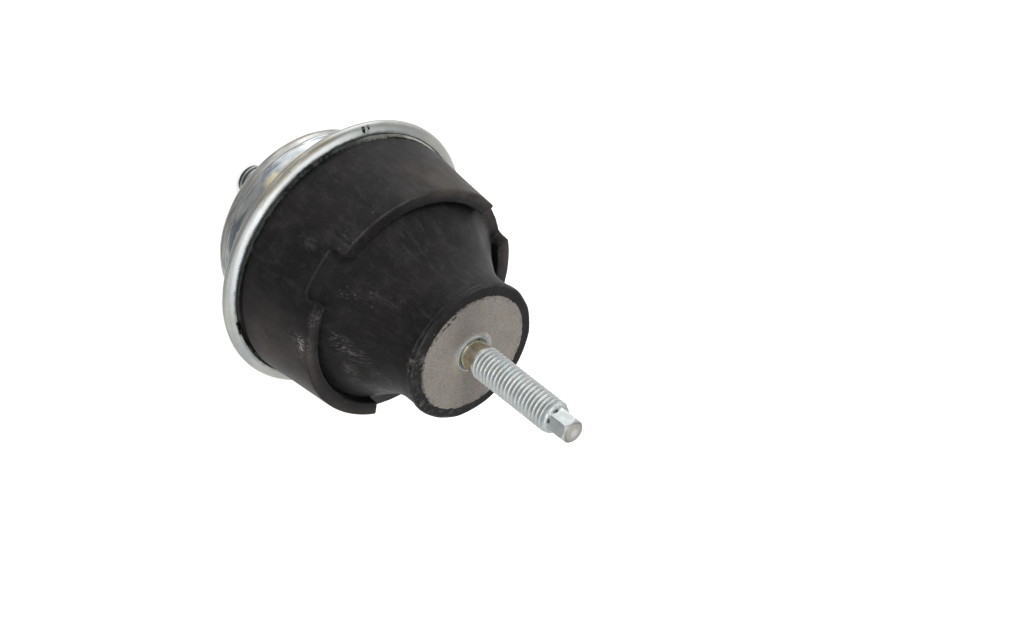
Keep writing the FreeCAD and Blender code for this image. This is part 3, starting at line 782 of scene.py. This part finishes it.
    scuffed = product(
        change(height, 78.5, 80),
        either(around(12, 34, 6), around(56, 68, 4), product(around(34, 125, 12), 0.45)),
        patches(place, 1.5, 0.46, 0.64, seed=19, rough=0.65))
    rubber.paint((0.14, 0.136, 0.132), scuffed, 0.85)
    flat_ring = product(
        change(height, FACE - 0.35, FACE - 0.1), out(18.3, 20.9, 0.4),
        patches(place, 3, 0.36, 0.6, seed=23, start=0.9, stop=0.4))
    rubber.paint((0.0042, 0.0042, 0.0045), flat_ring, 0.8)
    dust = rubber.mask(SPECKLE, place=place, grain=1.9, size=0.13, share=0.35)
    rubber.paint((0.13, 0.125, 0.12), dust, either(bloom, blotches), 0.7)

    jagged = rubber.plus(radius, product(rubber.minus(rubber.cloud(place, 0.9, 3, 0.65, 1), 0.5), 1.3))
    foot = change(height, 26.3, 25.9)
    strip = product(foot, change(jagged, 39.3, 39.5))
    seen = around(-60, 46, 6)
    grey = rubber.blend(rubber.cloud(place, 1.8, 3, 0.6), (0.012, 0.015, 0.014), (0.058, 0.066, 0.06))
    brown = rubber.blend(rubber.cloud(place, 1.8, 3, 0.6), (0.075, 0.072, 0.064), (0.23, 0.23, 0.21))
    # Painted shade: the strip near black in the crevice under the rim and along ragged lines.
    crevice_shade = either(
        around(45, 92, 1.5),
        product(
            either(around(-44, -37, 1.5), around(-34.5, -25.5, 1), around(-23.5, -16.5, 1.5)),
            patches(place, 1.5, 0.4, 0.5, rough=0.65)),
        product(around(14, 46, 3), change(jagged, 40, 39.7)),
        product(around(-130, -75, 4), change(jagged, 39.75, 39.6)))
    lining = rubber.blend(seen, brown, grey)
    rubber.paint(rubber.blend(crevice_shade, lining, (0.004, 0.004, 0.004)), strip)
    # Painted highlight: a light line along the foot's outer edge in this sector.
    edge_highlight = product(foot, out(39.85, 40.2, 0.1), around(-130, -84, 3))
    rubber.paint((0.55, 0.55, 0.52), edge_highlight, 0.8)
    # Painted shade: near black in the gap between the foot and the lip.
    crack_shade = product(
        foot, within(jagged, 38.9, 39.6, 0.12),
        either(around(12, 92, 5), around(-130, -74, 4), product(around(-50, 12, 5), 0.7)))
    rubber.paint((0.003, 0.003, 0.003), crack_shade)
    # Painted shade under the rim.
    under_rim_shade = product(change(height, 27.3, 26.5), change(jagged, 38.9, 39.2), around(45, 90, 2.5))
    rubber.paint((0.003, 0.003, 0.003), under_rim_shade)

    matt = change(broad, 0.3, 0.7, 0.44, 0.56)
    dulled = either(matt, product(wear_and_highlight, 0.8), product(marks, 0.8), product(veil, dust_and_sheen, 0.7))
    rubber.surface["Specular IOR Level"].default_value = 0.2
    rubber.surface["Sheen Weight"].default_value = 0.07
    rubber.surface["Sheen Roughness"].default_value = 0.35
    rubber.surface["Sheen Tint"].default_value = (1, 0.95, 0.92, 1)
    skin = rubber.bump(rubber.cloud(place, 0.3, 3, 0.6), 0.3, 0.035)
    flow = rubber.bump(rubber.cloud(upright, 2, 2, 0.5), 0.35, 0.08, skin)
    relief = rubber.minus(marks, wear_and_highlight)
    return rubber.finished(roughness=dulled, normal=rubber.bump(relief, 0.25, 0.05, flow))


def make_hidden_finish(name, colour, darker, roughness, metallic, grain):
    """A finish for the pieces inside: mottled colour, uneven gloss and a fine skin."""
    finish = Finish(name, colour, roughness, metallic)
    pattern = finish.use(GRAIN, place=finish.place, grain=grain)
    veil = finish.mask(VEIL, place=finish.place, grain=grain * 12, share=0.5, seed=2)
    finish.paint(darker, pattern["Tone"], 0.5)
    finish.paint(darker, veil, 0.5)
    return finish.finished(
        roughness=finish.change(veil, 0, 1, roughness, min(1, roughness + 0.15)),
        normal=finish.bump(pattern["Height"], 0.2, 0.03))


# The pressed can

def make_pressed_can(material):
    """The can's sheet: base, wall, narrow shelf, flange, and the rim folded over in a sloping bead."""
    outside = [(5.5, 0), (12, 0), (19, 0), (27, 0)]
    outside += arc((27.0, 4.2), 4.2, -90, 0, 12)
    outside += [(31.2, 7.0), (31.2, 9.6)] + arc((32.1, 11.9), 0.9, 180, 90, 6)
    outside += arc((32.9, 14.9), 2.1, -90, 0, 10)
    outside += [(35.0, 17.4)] + arc((35.9, 19.9), 0.9, 180, 90, 6) + [(38.0, RIM_UNDER)]
    outside += arc((41.85, 22.7), 1.9, -90, 0, 12)
    bead = [(43.73, 23.05), (43.62, 23.42), (43.4, 23.75), (43.08, 24.03), (42.66, 24.28), (42.1, 24.53)]
    bead += [(41.5, 24.76), (41.0, 24.92), (40.72, 24.99), (40.55, 24.97), (40.44, 24.86), (40.4, 24.6)]
    bead += [(40.4, 23.8)]
    inside = [(41.2, 23.8)] + arc((41.85, 22.9), 0.9, 90, -90, 10)
    inside += [(38.0, 22.0)] + arc((35.9, 19.9), 2.1, 90, 180, 8)
    inside += arc((32.9, 14.9), 0.9, 0, -90, 6) + arc((32.1, 11.9), 2.1, 90, 180, 8)
    inside += arc((27.0, 4.2), 3.0, 0, -90, 8) + [(19, 1.2), (12, 1.2), (5.5, 1.2), (5.5, 0)]
    piece = turned_piece("pressed_can", outside + bead + inside, CAN_STEPS)
    uneven(piece, 8, 0.22, 1.0)
    smooth(piece, 40)
    finish_piece(piece, "mount_can", material)


# The rubber spring

def rounding(value, radius):
    """How far a rounded edge has fallen away this far past its start."""
    return radius - math.sqrt(max(0.0, radius * radius - min(radius, max(0.0, value)) ** 2))


def flank_foot(radius):
    """How high the rubber stands where the flank runs out into the shoulder in a wide fillet."""
    flank_radius, flank_height = 32.3, 51.02
    fillet = 6.8
    slope = flank_height + FLANK_SLOPE * (flank_radius - radius)
    filled = 0.5 * (SHOULDER + slope + math.sqrt((SHOULDER - slope) ** 2 + fillet))
    filled -= (filled - slope) * (1 - ease(radius, 27.6, 31.0))
    return filled - (filled - SHOULDER) * ease(radius, 35.2, 37.2)


def notch_cutter():
    """Blocks that cross the crown, flared where they leave the rubber to round the notches' edges."""
    depths = (30.6, 31.4, 32.0, 32.27, 32.45, 32.65, 32.85, 33.1, 33.8, 34.5, 35.2,
              35.8, 36.1, 36.35, 36.6, 36.85, 37.1, 37.35, 37.6, 38.0, 38.6, 39.4)
    heights = (0, 0.1, 0.25, 0.45, 0.7, 1.0, 1.3, 1.6, 2.2, 2.8, 3.3,
               3.9, 4.05, 4.2, 4.35, 4.5, 4.62, 4.7, 4.9, 5.3, 6.0, 7.0)
    last = len(depths) - 1
    edge, corner, floor_edge = 0.8, 1.6, 0.7
    floor_end = 37.85
    clear = 0.02
    tall = CROWN_TOP - SHOULDER
    half = NOTCH_WIDTH / 2
    deselect_all()
    bpy.ops.mesh.primitive_cube_add(size=2)
    cutter = bpy.context.object
    bpy.ops.object.mode_set(mode="EDIT")
    bpy.ops.mesh.subdivide(number_cuts=last - 1)
    close_mesh()
    for vertex in cutter.data.vertices:
        deep = depths[round((vertex.co.x + 1) / 2 * last)]
        high = heights[round((vertex.co.z + 1) / 2 * last)]
        outside = math.sqrt((CROWN + (tall - high) * CROWN_TAPER) ** 2 - half ** 2)
        inside = math.sqrt(CROWN_BORE ** 2 - half ** 2)
        flare = rounding(deep - outside + edge, edge) + rounding(inside + edge - deep, edge)
        flare += rounding(high - (tall - edge), edge) - rounding(corner - high, corner)
        across = vertex.co.y * (half + flare)
        radius = math.hypot(deep, across)
        sunk = rounding(radius - floor_end + floor_edge, floor_edge) * max(0.0, 1 - high / 1.2)
        lowest = flank_foot(radius) + clear + clear * high
        vertex.co = (deep * MM, across * MM, max(SHOULDER + high - sunk, lowest - sunk) * MM)
    blocks = [cutter]
    for turn in range(1, NOTCH_COUNT):
        block = cutter.copy()
        block.data = cutter.data.copy()
        bpy.context.scene.collection.objects.link(block)
        block.data.transform(Matrix.Rotation(FULL_TURN * turn / NOTCH_COUNT, 4, "Z"))
        blocks.append(block)
    choose(cutter)
    for block in blocks:
        block.select_set(True)
    bpy.ops.object.join()
    return cutter


def squeeze_rubber(piece):
    """Sinks the foot where the rim stands off it, and roughens the foot, the flash and the neck's top."""
    mesh = piece.data
    for vertex in mesh.vertices:
        place = vertex.co / MM
        radius = math.hypot(place.x, place.y)
        turn = bearing(place)
        ripple = noise.noise(place * 0.9) + 0.5 * noise.noise(place * 2.3)
        outward = Vector((place.x, place.y, 0)).normalized() if radius > 0.01 else Vector((0, 0, 0))
        if 38.0 < radius < 40.6 and 24.0 < place.z < 26.8:
            gap = ease(turn, 42, 54) * (1 - ease(turn, 80, 92))
            foot = 1 - ease(place.z, 25.9, 26.9)
            vertex.co.z -= (0.9 * gap * (1 - ease(place.z, 25.5, 26.0)) + 0.2 * ripple * foot) * MM
            vertex.co -= outward * (0.65 * gap * foot + 0.22 * ripple * foot) * MM
        elif radius < 18.8 and place.z > FACE - 0.08:
            vertex.co += outward * (0.34 * noise.noise(place * 1.1) + 0.3 * noise.noise(place * 2.7)) * MM
        elif radius > 19.0 and place.z > 77.0:
            share = ease(place.z, 77.0, 81.0)
            wave = noise.noise(Vector((outward.x, outward.y, 0.3)) * 3.4)
            vertex.co += outward * 0.34 * share * wave * MM
    mesh.update()


def make_spring_body(material):
    """The rubber moulding: neck, flank, groove, notched crown, wall and foot, with the pockets inside."""
    wall_foot = (39.3, 25.45)
    wall = [(39.36, 25.7), (39.55, 26.1), (39.75, 26.6)]
    crown = finely([(39.84, 27.2), (37.457, 53.662)], 1.6)
    crown += arc((36.76, 53.6), CROWN_ROUND, 5, 90, 5)
    crown += [(36.0, CROWN_TOP), (35.2, CROWN_TOP), (34.5, CROWN_TOP)]
    crown += arc((33.9, 53.6), CROWN_ROUND, 90, 180, 5)
    crown += [(CROWN_BORE, 52.3), (CROWN_BORE, 51.5)]
    across = (33.15, 32.8, 32.4, 32.0, 31.5, 31.0, 30.4, 29.8, 29.2, 28.6, 28.0)
    groove = [(radius, flank_foot(radius)) for radius in across]
    flank = finely([(27.6, 58.455), (25.268, 62.146)], 1.4)
    sweep = arc((NECK + SWEEP, SWEEP_TOP), SWEEP, 180 + LEAN, 180, 14)
    neck = [(NECK, 77.3), (NECK, 79.2), (21.46, 79.7), (21.68, 80.05), (21.84, 80.35), (21.86, 80.9)]
    neck += [(21.8, 81.35)] + arc((20.75, 81.455), 1.05, 0, 90, 7)
    face = [(20.1, FACE), (19.4, FACE), (18.95, FACE + 0.03), (18.65, FACE + 0.06), (18.48, FACE + 0.02)]
    face += [(18.5, FACE - 0.06)]
    inside = [(18.6, FACE - 0.1), (18.6, 66.505), (11.794, 51.281), (9.055, 49.505), (0, 49.505)]
    inside += [(0, 45.505), (12.0, 45.505), (28.4, 26.2), (28.4, 21.2), (33.6, 21.2), (33.6, 22.0)]
    inside += [(35.2, 22.0), (33.4, 42.8), (35.2, 42.8), (36.844, 23.8), (40.3, 23.8)]
    strip = [(40.38, 24.6), (40.3, 24.9), (40.02, 25.08), (39.72, 25.22), (39.5, 25.36), wall_foot]
    outline = [wall_foot] + wall + crown + groove + flank + sweep[1:] + neck + face + inside + strip
    piece = turned_piece("spring_body", outline, SPRING_STEPS)
    combine(piece, notch_cutter(), "DIFFERENCE")
    squeeze_rubber(piece)
    uneven(piece, 11, 0.3)
    smooth(piece, 60)
    finish_piece(piece, "rubber_spring", material)


# The studs

def thread_outline(low):
    """One pitch of a metric thread, from root to root."""
    crest = THREAD + 0.02
    blunt = 0.06
    return [
        (THREAD_ROOT, low), (THREAD_ROOT, low + 0.12), (THREAD_ROOT + blunt, low + 0.21),
        (crest - blunt, low + 0.62), (crest, low + 0.67), (crest, low + 0.83), (crest - blunt, low + 0.88),
        (THREAD_ROOT + blunt, low + 1.29), (THREAD_ROOT, low + 1.38), (THREAD_ROOT, low + PITCH),
    ]


def close_end(piece, top):
    """Draws the open end's edge in to a point on the axis."""
    mesh = bmesh.from_edit_mesh(piece.data)
    heights = [vertex.co.z for vertex in mesh.verts]
    middle = (min(heights) + max(heights)) / 2
    bpy.ops.mesh.select_all(action="DESELECT")
    for edge in mesh.edges:
        high = (edge.verts[0].co.z + edge.verts[1].co.z) / 2 > middle
        if edge.is_boundary and high == top:
            edge.select_set(True)
    bmesh.update_edit_mesh(piece.data)
    end = max(heights) - PITCH / 2 * MM if top else min(heights) + PITCH / 2 * MM
    bpy.ops.mesh.extrude_edges_move()
    bpy.ops.mesh.merge(type="CENTER")
    mesh = bmesh.from_edit_mesh(piece.data)
    for vertex in mesh.verts:
        if vertex.select:
            vertex.co = (0, 0, end)
    bmesh.update_edit_mesh(piece.data)


def threaded_bar(name, low, turns):
    """A bar with a real right-hand thread, a little longer than the thread that is wanted."""
    piece = start_piece(name)
    draw_outline(thread_outline(low))
    close_mesh()
    apply_modifier(
        piece, "SCREW", axis="Z", angle=FULL_TURN, screw_offset=PITCH * MM, iterations=turns,
        steps=THREAD_STEPS, render_steps=THREAD_STEPS, use_merge_vertices=True, merge_threshold=THREAD_MERGE)
    choose(piece)
    bpy.ops.object.mode_set(mode="EDIT")
    bpy.ops.mesh.select_all(action="SELECT")
    bpy.ops.mesh.remove_doubles(threshold=THREAD_MERGE)
    close_end(piece, False)
    close_end(piece, True)
    bpy.ops.mesh.select_all(action="SELECT")
    bpy.ops.mesh.normals_make_consistent(inside=False)
    close_mesh()
    return piece


def hexagon_end():
    """The long stud's end: a cone off the thread, six flats, a dimple at each foot and a tapered tip."""
    rod = [(0, 116.9), (4.3, 116.9), (4.6, 117.6), (4.72, 118.1), (4.6, 118.5), (4.42, 119.0)]
    rod += [(4.28, 119.6), (4.25, 120.4), (4.25, 124.4), (4.1, 124.75), (3.85, 125.15), (3.6, 125.5)]
    rod += [(3.35, 125.8), (3.1, 126.05), (2.75, 126.22), (2.2, 126.28), (1.2, 126.3), (0, 126.3)]
    sides = 6
    piece = turned_piece("driving_end", rod, STUD_STEPS)
    corner = HEXAGON / 2 / math.cos(math.pi / sides)
    block = [(0, 116), (6, 116), (6, 117.6), (corner, 119.1), (corner, 128), (0, 128)]
    flats = turned_piece("flats", block, sides)
    flats.data.transform(Matrix.Rotation(math.radians(HEXAGON_TURN), 4, "Z"))
    apply_modifier(
        flats, "BEVEL", width=0.16 * MM, segments=3, limit_method="ANGLE", angle_limit=math.radians(50))
    combine(piece, flats, "INTERSECT")
    for turn in range(sides):
        angle = math.radians(HEXAGON_TURN + 360 / sides * (turn + 0.5))
        deselect_all()
        bpy.ops.mesh.primitive_uv_sphere_add(segments=24, ring_count=16, radius=MM)
        dimple = bpy.context.object
        dimple.data.transform(Matrix.Diagonal((0.85, 1.15, 0.85, 1)))
        dimple.data.transform(Matrix.Translation((3.95 * MM, 0, 118.95 * MM)))
        dimple.data.transform(Matrix.Rotation(angle, 4, "Z"))
        combine(piece, dimple, "DIFFERENCE")
    return piece


def make_long_stud(material):
    """The engine stud: shank in the core, collar, plain neck, rolled thread and driving end."""
    piece = threaded_bar("long_stud", 86.0, 24)
    envelope = [(0, 87.0), (PLAIN_NECK, 87.0), (PLAIN_NECK, 87.405), (THREAD, 87.855), (THREAD, 117.9)]
    envelope += [(4.72, 118.4), (4.4, 119.0), (0, 119.0)]
    combine(piece, turned_piece("thread_limits", envelope, STUD_STEPS), "INTERSECT")
    collar = [(0, 62.505), (4.2, 62.505), (THREAD, 63.305), (THREAD, 81.005), (6.0, 81.005)]
    ridge = ((6.0, 0.04), (5.94, 0.13), (5.84, 0.12), (5.72, 0.05), (5.6, 0.08), (5.52, 0.3), (5.44, 0.38),
             (5.34, 0.34), (5.2, 0.12), (4.95, 0.06), (4.72, 0.16), (4.6, 0.4), (PLAIN_NECK, 0.8))
    collar += [(radius, FACE + above) for radius, above in ridge]
    collar += [(PLAIN_NECK, 85), (PLAIN_NECK, 87.2), (4.4, 87.6), (0, 87.6)]
    combine(piece, turned_piece("collar", collar, STUD_STEPS), "UNION")
    combine(piece, hexagon_end(), "UNION")
    smooth(piece, 32)
    finish_piece(piece, "engine_stud", material)


def make_short_stud(material):
    """The body stud: head inside the can's base, and a rolled thread with a chamfered end."""
    piece = threaded_bar("short_stud", -29.0, 19)
    envelope = [(0, -26.0), (3.0, -26.0), (3.8, -26.0), (4.2, -25.6), (THREAD, -24.8), (THREAD, -1.6)]
    envelope += [(4.6, -1.2), (0, -1.2)]
    combine(piece, turned_piece("thread_limits", envelope, STUD_STEPS), "INTERSECT")
    head = [(0, -1.5), (4.4, -1.5), (THREAD, -0.9), (THREAD, 0), (5.5, 0), (5.5, 1.2), (10, 1.2)]
    head += [(10, 3.4), (9.6, 3.8), (0, 3.8)]
    combine(piece, turned_piece("head", head, STUD_STEPS), "UNION")
    smooth(piece, 32)
    finish_piece(piece, "body_stud", material)


# The mount

can_plating = make_can_plating()
stud_plating = make_stud_plating()
core_casting = make_core_casting()
spring_compound = make_spring_compound()
phosphated_steel = make_hidden_finish(
    "phosphated_steel", (0.10, 0.10, 0.10), (0.05, 0.052, 0.05), roughness=0.5, metallic=0.9, grain=0.4)
plate_casting = make_hidden_finish(
    "die_cast_plate", (0.50, 0.51, 0.52), (0.34, 0.35, 0.36), roughness=0.38, metallic=1, grain=0.5)
bellows_rubber = make_hidden_finish(
    "bellows_rubber", (0.014, 0.014, 0.014), (0.008, 0.008, 0.008), roughness=0.6, metallic=0, grain=0.6)

for node_name, material in (
    ("outer_ring", phosphated_steel), ("core_insert", core_casting),
    ("upper_channel_plate", plate_casting), ("lower_channel_plate", plate_casting),
    ("decoupler_membrane", bellows_rubber), ("bellows_diaphragm", bellows_rubber),
):
    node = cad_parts[node_name]
    node.data.materials.clear()
    node.data.materials.append(material)

make_pressed_can(can_plating)
make_spring_body(spring_compound)
make_long_stud(stud_plating)
make_short_stud(stud_plating)


# Studio: floor, world, lamps and camera

CAMERA_RIGHT = Vector((-0.5872, -0.4909, 0.6437))
CAMERA_UP = Vector((0.1754, -0.8535, -0.4907))
CAMERA_BACK = Vector((0.7902, -0.1752, 0.5872))
CAMERA_PLACE = Vector((0.5492, -0.1370, 0.4964))
CAMERA_LENS = 87.15
CAMERA_SENSOR = 36

FLOOR_HEIGHT = -0.0262
FLOOR_RADIUS = 6
FLOOR_COLOUR = (0.8, 0.8, 0.8)
FLOOR_GLOW = 0.5

LAMP_TARGET = (0, 0, 0.05)


def start_tree(owner, output):
    """The owner's node tree with nothing in it but its output."""
    owner.use_nodes = True
    owner.node_tree.nodes.clear()
    shading = Shading(owner.node_tree)
    return shading, shading.add(output).inputs["Surface"]


def make_floor():
    """A pale floor under the short stud. It shows pale to the camera and keeps the mount's shadow."""
    deselect_all()
    bpy.ops.mesh.primitive_circle_add(
        vertices=64, radius=FLOOR_RADIUS, fill_type="NGON", location=(0, 0, FLOOR_HEIGHT))
    floor = bpy.context.object
    floor.name = "floor"
    floor.visible_glossy = False
    material = bpy.data.materials.new("pale_floor")
    shading, surface = start_tree(material, "ShaderNodeOutputMaterial")
    diffuse = shading.add("ShaderNodeBsdfDiffuse")
    diffuse.inputs["Color"].default_value = (*FLOOR_COLOUR, 1)
    rays = shading.add("ShaderNodeLightPath").outputs
    seen = shading.either(rays["Is Camera Ray"], rays["Is Glossy Ray"])
    glow = shading.add("ShaderNodeEmission")
    shading.feed(glow.inputs["Strength"], shading.product(seen, FLOOR_GLOW))
    both = shading.add("ShaderNodeAddShader")
    shading.feed(both.inputs[0], diffuse.outputs[0])
    shading.feed(both.inputs[1], glow.outputs[0])
    shading.feed(surface, both.outputs[0])
    floor.data.materials.append(material)


# What the metal sees round it: the direction in the camera's right, up and back, the cosine of the angle
# from that direction at which the card begins, the cosine at which it is full, and its brightness
ROOM = (
    ("ceiling_card", (0, 1, 0), 0.55, 0.98, 0.59),
    ("ceiling_lamp", (0.1, 0.95, -0.25), 0.93, 0.985, 0.5),
    ("backdrop", (0, 0, -1), 0.55, 0.98, 0.52),
    ("low_box", (0.80, -0.46, 0.50), 0.72, 0.96, 0.95),
    ("camera_wall", (0, 0, 1), 0.55, 0.98, 0.37),
    ("right_card", (1, 1, 0), 0.55, 0.98, 0.28),
    ("table", (0, -1, 0), 0.55, 0.98, 0.23),
    ("table_right", (1, -1, -1), 0.55, 0.98, 0.20),
    ("table_front", (0, -1, 1), 0.55, 0.98, 0.20),
    ("table_left", (-1, -1, 0), 0.55, 0.98, 0.18),
    ("backdrop_right", (1, 0, -1), 0.55, 0.98, 0.16),
    ("backdrop_top", (1, 1, -1), 0.55, 0.98, 0.14),
    ("backdrop_low", (-1, -1, -1), 0.55, 0.98, 0.13),
    ("left_card", (-1, 1, 0), 0.55, 0.98, 0.10),
)
ROOM_LEVEL = 0.24
LIGHT_LEVEL = 0.45


def make_world():
    """A white room: white to the camera, cards and boxes in reflections, and an even soft light."""
    world = bpy.data.worlds.new("white_room")
    bpy.context.scene.world = world
    shading, surface = start_tree(world, "ShaderNodeOutputWorld")

    def white_light(strength):
        node = shading.add("ShaderNodeBackground")
        node.inputs["Color"].default_value = (1, 1, 1, 1)
        shading.feed(node.inputs["Strength"], strength)
        return node.outputs[0]

    direction = shading.add("ShaderNodeTexCoord").outputs["Generated"]
    brightness = ROOM_LEVEL
    for label, (right, up, back), begins, full, strength in ROOM:
        towards = shading.add("ShaderNodeVectorMath", operation="DOT_PRODUCT", label=label)
        axis = CAMERA_RIGHT * right + CAMERA_UP * up + CAMERA_BACK * back
        shading.feed(towards.inputs[0], direction)
        shading.feed(towards.inputs[1], axis.normalized())
        card = shading.change(towards.outputs["Value"], begins, full, 0, strength)
        brightness = shading.plus(card, brightness)
    rays = shading.add("ShaderNodeLightPath").outputs
    mirrored = shading.either(rays["Is Glossy Ray"], rays["Is Transmission Ray"])
    room = shading.mix_shaders(mirrored, white_light(LIGHT_LEVEL), white_light(brightness))
    shading.feed(surface, shading.mix_shaders(rays["Is Camera Ray"], room, white_light(1)))


def make_lamp(name, place, target, size, power):
    """A square soft box that faces the target."""
    data = bpy.data.lights.new(name, "AREA")
    data.size = size
    data.energy = power
    lamp = bpy.data.objects.new(name, data)
    bpy.context.scene.collection.objects.link(lamp)
    lamp.visible_glossy = False
    lamp.location = place
    lamp.rotation_euler = (Vector(target) - Vector(place)).to_track_quat("-Z", "Y").to_euler()


def make_camera():
    """The photograph's own view: the mount lies with its long stud towards the lower right."""
    data = bpy.data.cameras.new("photo_camera")
    data.lens = CAMERA_LENS
    data.sensor_width = CAMERA_SENSOR
    data.clip_start = 0.01
    camera = bpy.data.objects.new("photo_camera", data)
    bpy.context.scene.collection.objects.link(camera)
    turn = Matrix((CAMERA_RIGHT, CAMERA_UP, CAMERA_BACK)).transposed().to_4x4()
    camera.matrix_world = Matrix.Translation(CAMERA_PLACE) @ turn
    bpy.context.scene.camera = camera


make_floor()
make_world()
make_lamp("key_box", (0.55, -0.75, 0.55), LAMP_TARGET, size=0.5, power=9)
make_lamp("fill_box", (-0.6, 0.5, 0.7), LAMP_TARGET, size=0.6, power=5)
make_camera()
bpy.context.scene.view_settings.view_transform = "Standard"
